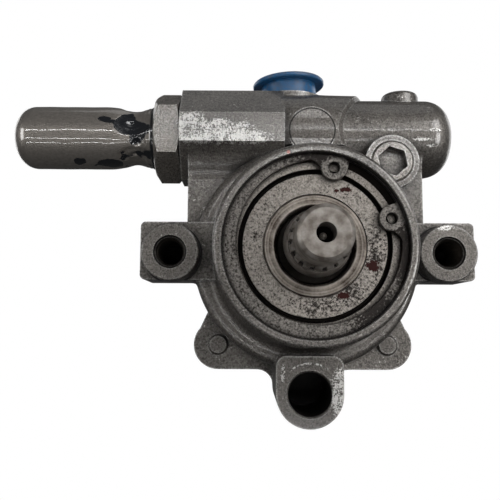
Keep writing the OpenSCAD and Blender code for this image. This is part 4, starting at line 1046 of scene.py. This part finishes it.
def flaked_vinyl(finishes):
    """Dipped black vinyl under the same spray: pale grey paint as a painted sheen, flaked to glossy
    black on the folds.
    """
    material, tree, place = new_material("Dipped vinyl with flaked paint")
    grain = add(
        tree, "TexNoise", {"Vector": place, "Scale": 1 / (0.9 * MM), "Detail": 4.0, "Roughness": 0.65}
    )
    ragged = add(
        tree, "TexNoise", {"Vector": place, "Scale": 1 / (5 * MM), "Detail": 2.5, "Roughness": 0.45}
    )
    tone = add(
        tree,
        "MapRange",
        {"Value": grain, "From Min": 0.2, "From Max": 0.8, "To Min": 0.15, "To Max": 0.65},
    )
    flaked = spots(tree, place, FLAKES)
    flaked = add(tree, "Math", {0: flaked, 1: 0.6, 2: ragged}, operation="MULTIPLY_ADD")
    flaked = add(tree, "MapRange", {"Value": flaked, "From Min": 0.76, "From Max": 0.8})
    along = add(tree, "SeparateXYZ", {0: place}, "X")
    open_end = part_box("outlet_dust_cap")[1].x
    start, end = (open_end - way * MM for way in CAP_RIM)
    rim = add(tree, "MapRange", {"Value": along, "From Min": start, "From Max": end})
    flaked = add(tree, "Math", {0: flaked, 1: rim}, operation="MAXIMUM")
    # The pale thin paint stands in for the cap's broad gloss: painted sheen
    colour = layered(
        tree, finishes.thin_shade, (tone, finishes.thin_paint_and_sheen), (flaked, finishes.vinyl)
    )
    relief = add(tree, "Math", {0: flaked, 1: -1.5, 2: grain}, operation="MULTIPLY_ADD")
    finish(
        tree,
        {
            "Base Color": colour,
            "Metallic": add(tree, "MapRange", {"Value": flaked, "To Min": 0.7, "To Max": 0.0}),
            "Roughness": add(tree, "MapRange", {"Value": flaked, "To Min": 0.42, "To Max": 0.25}),
            "Normal": add(tree, "Bump", {"Strength": 0.35, "Distance": 0.12 * MM, "Height": relief}),
            "Coat Weight": add(tree, "MapRange", {"Value": flaked, "To Min": 1.0, "To Max": 0.6}),
            "Coat Roughness": 0.07,
            "Coat IOR": 2.0,
            "Coat Normal": add(
                tree, "Bump", {"Strength": 0.15, "Distance": 0.05 * MM, "Height": ragged}
            ),
        },
    )
    return material


class PUMP_OT_threads(bpy.types.Operator):
    """Cut the threads of the two side lugs"""

    bl_idname = "pump.threads"
    bl_label = "Threads"

    def execute(self, context):
        # Tapped metal under oil is dark and half dull
        steel = plain_metal("Tapped cast metal", "#5a5651", 0.6, 0.3, 0.5)
        for name, hole in (("left_thread_turns", LEFT), ("right_thread_turns", RIGHT)):
            points, faces = thread_mesh(context.scene.pump_thread, hole[0] * MM, THREAD_FOOT * MM)
            mesh_piece(name, points, faces, steel)
        return {"FINISHED"}


def thread_mesh(thread, x, radius):
    """Points and faces of the turns in one hole."""
    around, per_turn = 40, 8
    rings = int((thread.end - thread.start) / thread.pitch * per_turn) + 1
    points = []
    faces = []
    for ring in range(rings):
        y = thread.start + thread.pitch * ring / per_turn
        fade = min(1, ring / per_turn, (rings - 1 - ring) / per_turn)
        for i in range(around):
            phase = (ring / per_turn + i / around) % 1
            reach = radius - thread.depth * fade * (1 - abs(2 * phase - 1))
            turn = 2 * math.pi * i / around
            points.append((x + reach * math.cos(turn), y, reach * math.sin(turn)))
            if ring:
                j = (i + 1) % around
                above = (ring - 1) * around
                faces.append((above + i, above + j, above + around + j, above + around + i))
    return points, faces


class PUMP_OT_stage(bpy.types.Operator):
    """Set the floor, the backdrop, the lights and the camera"""

    bl_idname = "pump.stage"
    bl_label = "Stage"

    def execute(self, context):
        scene = context.scene
        scene.view_settings.view_transform = "Standard"
        staged = [*paper_backdrop(context), *studio_lamps(scene)]
        studio_air(scene)
        studio_camera(scene)
        return {"FINISHED"}


def paper_backdrop(context):
    """Floor and dome of evenly lit white paper, which neither light nor shade the pump."""
    floor_z = CAD_BOX[0][2]
    bpy.ops.mesh.primitive_plane_add(size=FLOOR_SIZE, location=(0, 0, floor_z))
    floor = context.object
    floor.name = "floor"
    bpy.ops.mesh.primitive_uv_sphere_add(radius=DOME_RADIUS, location=(0, 0, floor_z))
    dome = context.object
    dome.name = "backdrop"
    paper = bpy.data.materials.new("White paper")
    tree = empty_tree(paper)
    glow = add(tree, "Emission", {"Color": (1, 1, 1, 1), "Strength": 1.0})
    add(tree, "OutputMaterial", {"Surface": glow})
    for obj in (floor, dome):
        obj.data.materials.append(paper)
        obj.visible_diffuse = False
        obj.visible_glossy = False
        obj.visible_shadow = False
    return floor, dome


def studio_air(scene):
    """A weak glow from all round that is stronger from above."""
    scene.world = bpy.data.worlds.new("Studio air")
    tree = empty_tree(scene.world)
    height = add(tree, "SeparateXYZ", {0: add(tree, "TexCoord", output="Generated")}, "Z")
    glow = add(
        tree,
        "MapRange",
        {"Value": height, "From Min": -0.3, "From Max": 0.9, "To Min": 0.055, "To Max": 0.11},
    )
    add(tree, "OutputWorld", {"Surface": add(tree, "Background", {"Strength": glow})})


def studio_lamps(scene):
    """A key lamp, a soft front, three thin tubes, and lamps at the sides, above and behind."""
    lamps = []
    for name, place, width, height, share in LAMPS:
        data = bpy.data.lights.new(name, "AREA")
        data.shape = "RECTANGLE"
        data.size = width
        data.size_y = height
        data.energy = scene.pump_studio.light * share
        lamp = bpy.data.objects.new(name, data)
        lamp.location = place
        lamp.rotation_euler = (AIM - Vector(place)).to_track_quat("-Z", "Y").to_euler()
        scene.collection.objects.link(lamp)
        lamps.append(lamp)
    return lamps


def studio_camera(scene):
    """The camera, placed as in the photo."""
    studio = scene.pump_studio
    data = bpy.data.cameras.new("camera")
    data.lens = studio.lens
    data.sensor_width = 36
    data.clip_start = 0.01
    camera = bpy.data.objects.new("camera", data)
    pitch = Euler((math.pi / 2 + studio.camera_pitch, 0, 0)).to_matrix().to_4x4()
    roll = Matrix.Rotation(studio.camera_roll, 4, "Z")
    camera.matrix_world = Matrix.Translation(studio.camera_place) @ pitch @ roll
    scene.collection.objects.link(camera)
    scene.camera = camera


class PUMP_PT_looks(bpy.types.Panel):
    """The pump's pieces in the sidebar"""

    bl_label = "Pump"
    bl_space_type = "VIEW_3D"
    bl_region_type = "UI"
    bl_category = "Pump"

    def draw(self, context):
        for operator in OPERATORS:
            self.layout.operator(operator.bl_idname)


GROUPS = {
    "pump_finishes": PumpFinishes,
    "pump_cap": PumpCap,
    "pump_thread": PumpThread,
    "pump_studio": PumpStudio,
}
OPERATORS = (
    PUMP_OT_castings,
    PUMP_OT_bearing,
    PUMP_OT_shaft,
    PUMP_OT_inner_parts,
    PUMP_OT_springs,
    PUMP_OT_inlet_plug,
    PUMP_OT_dust_cap,
    PUMP_OT_threads,
    PUMP_OT_stage,
)
CLASSES = (*GROUPS.values(), *OPERATORS, PUMP_PT_looks)


def register():
    """Register the classes and hang the settings on the scene."""
    for cls in CLASSES:
        bpy.utils.register_class(cls)
    for name, group in GROUPS.items():
        setattr(bpy.types.Scene, name, bpy.props.PointerProperty(type=group))


def unregister():
    """Take the settings and the classes away again."""
    for name in GROUPS:
        delattr(bpy.types.Scene, name)
    for cls in reversed(CLASSES):
        bpy.utils.unregister_class(cls)


def main():
    """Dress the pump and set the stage."""
    register()
    bpy.ops.pump.castings()
    bpy.ops.pump.bearing()
    bpy.ops.pump.shaft()
    bpy.ops.pump.inner_parts()
    bpy.ops.pump.springs()
    bpy.ops.pump.inlet_plug()
    bpy.ops.pump.dust_cap()
    bpy.ops.pump.threads()
    bpy.ops.pump.stage()


if __name__ == "__main__":
    main()
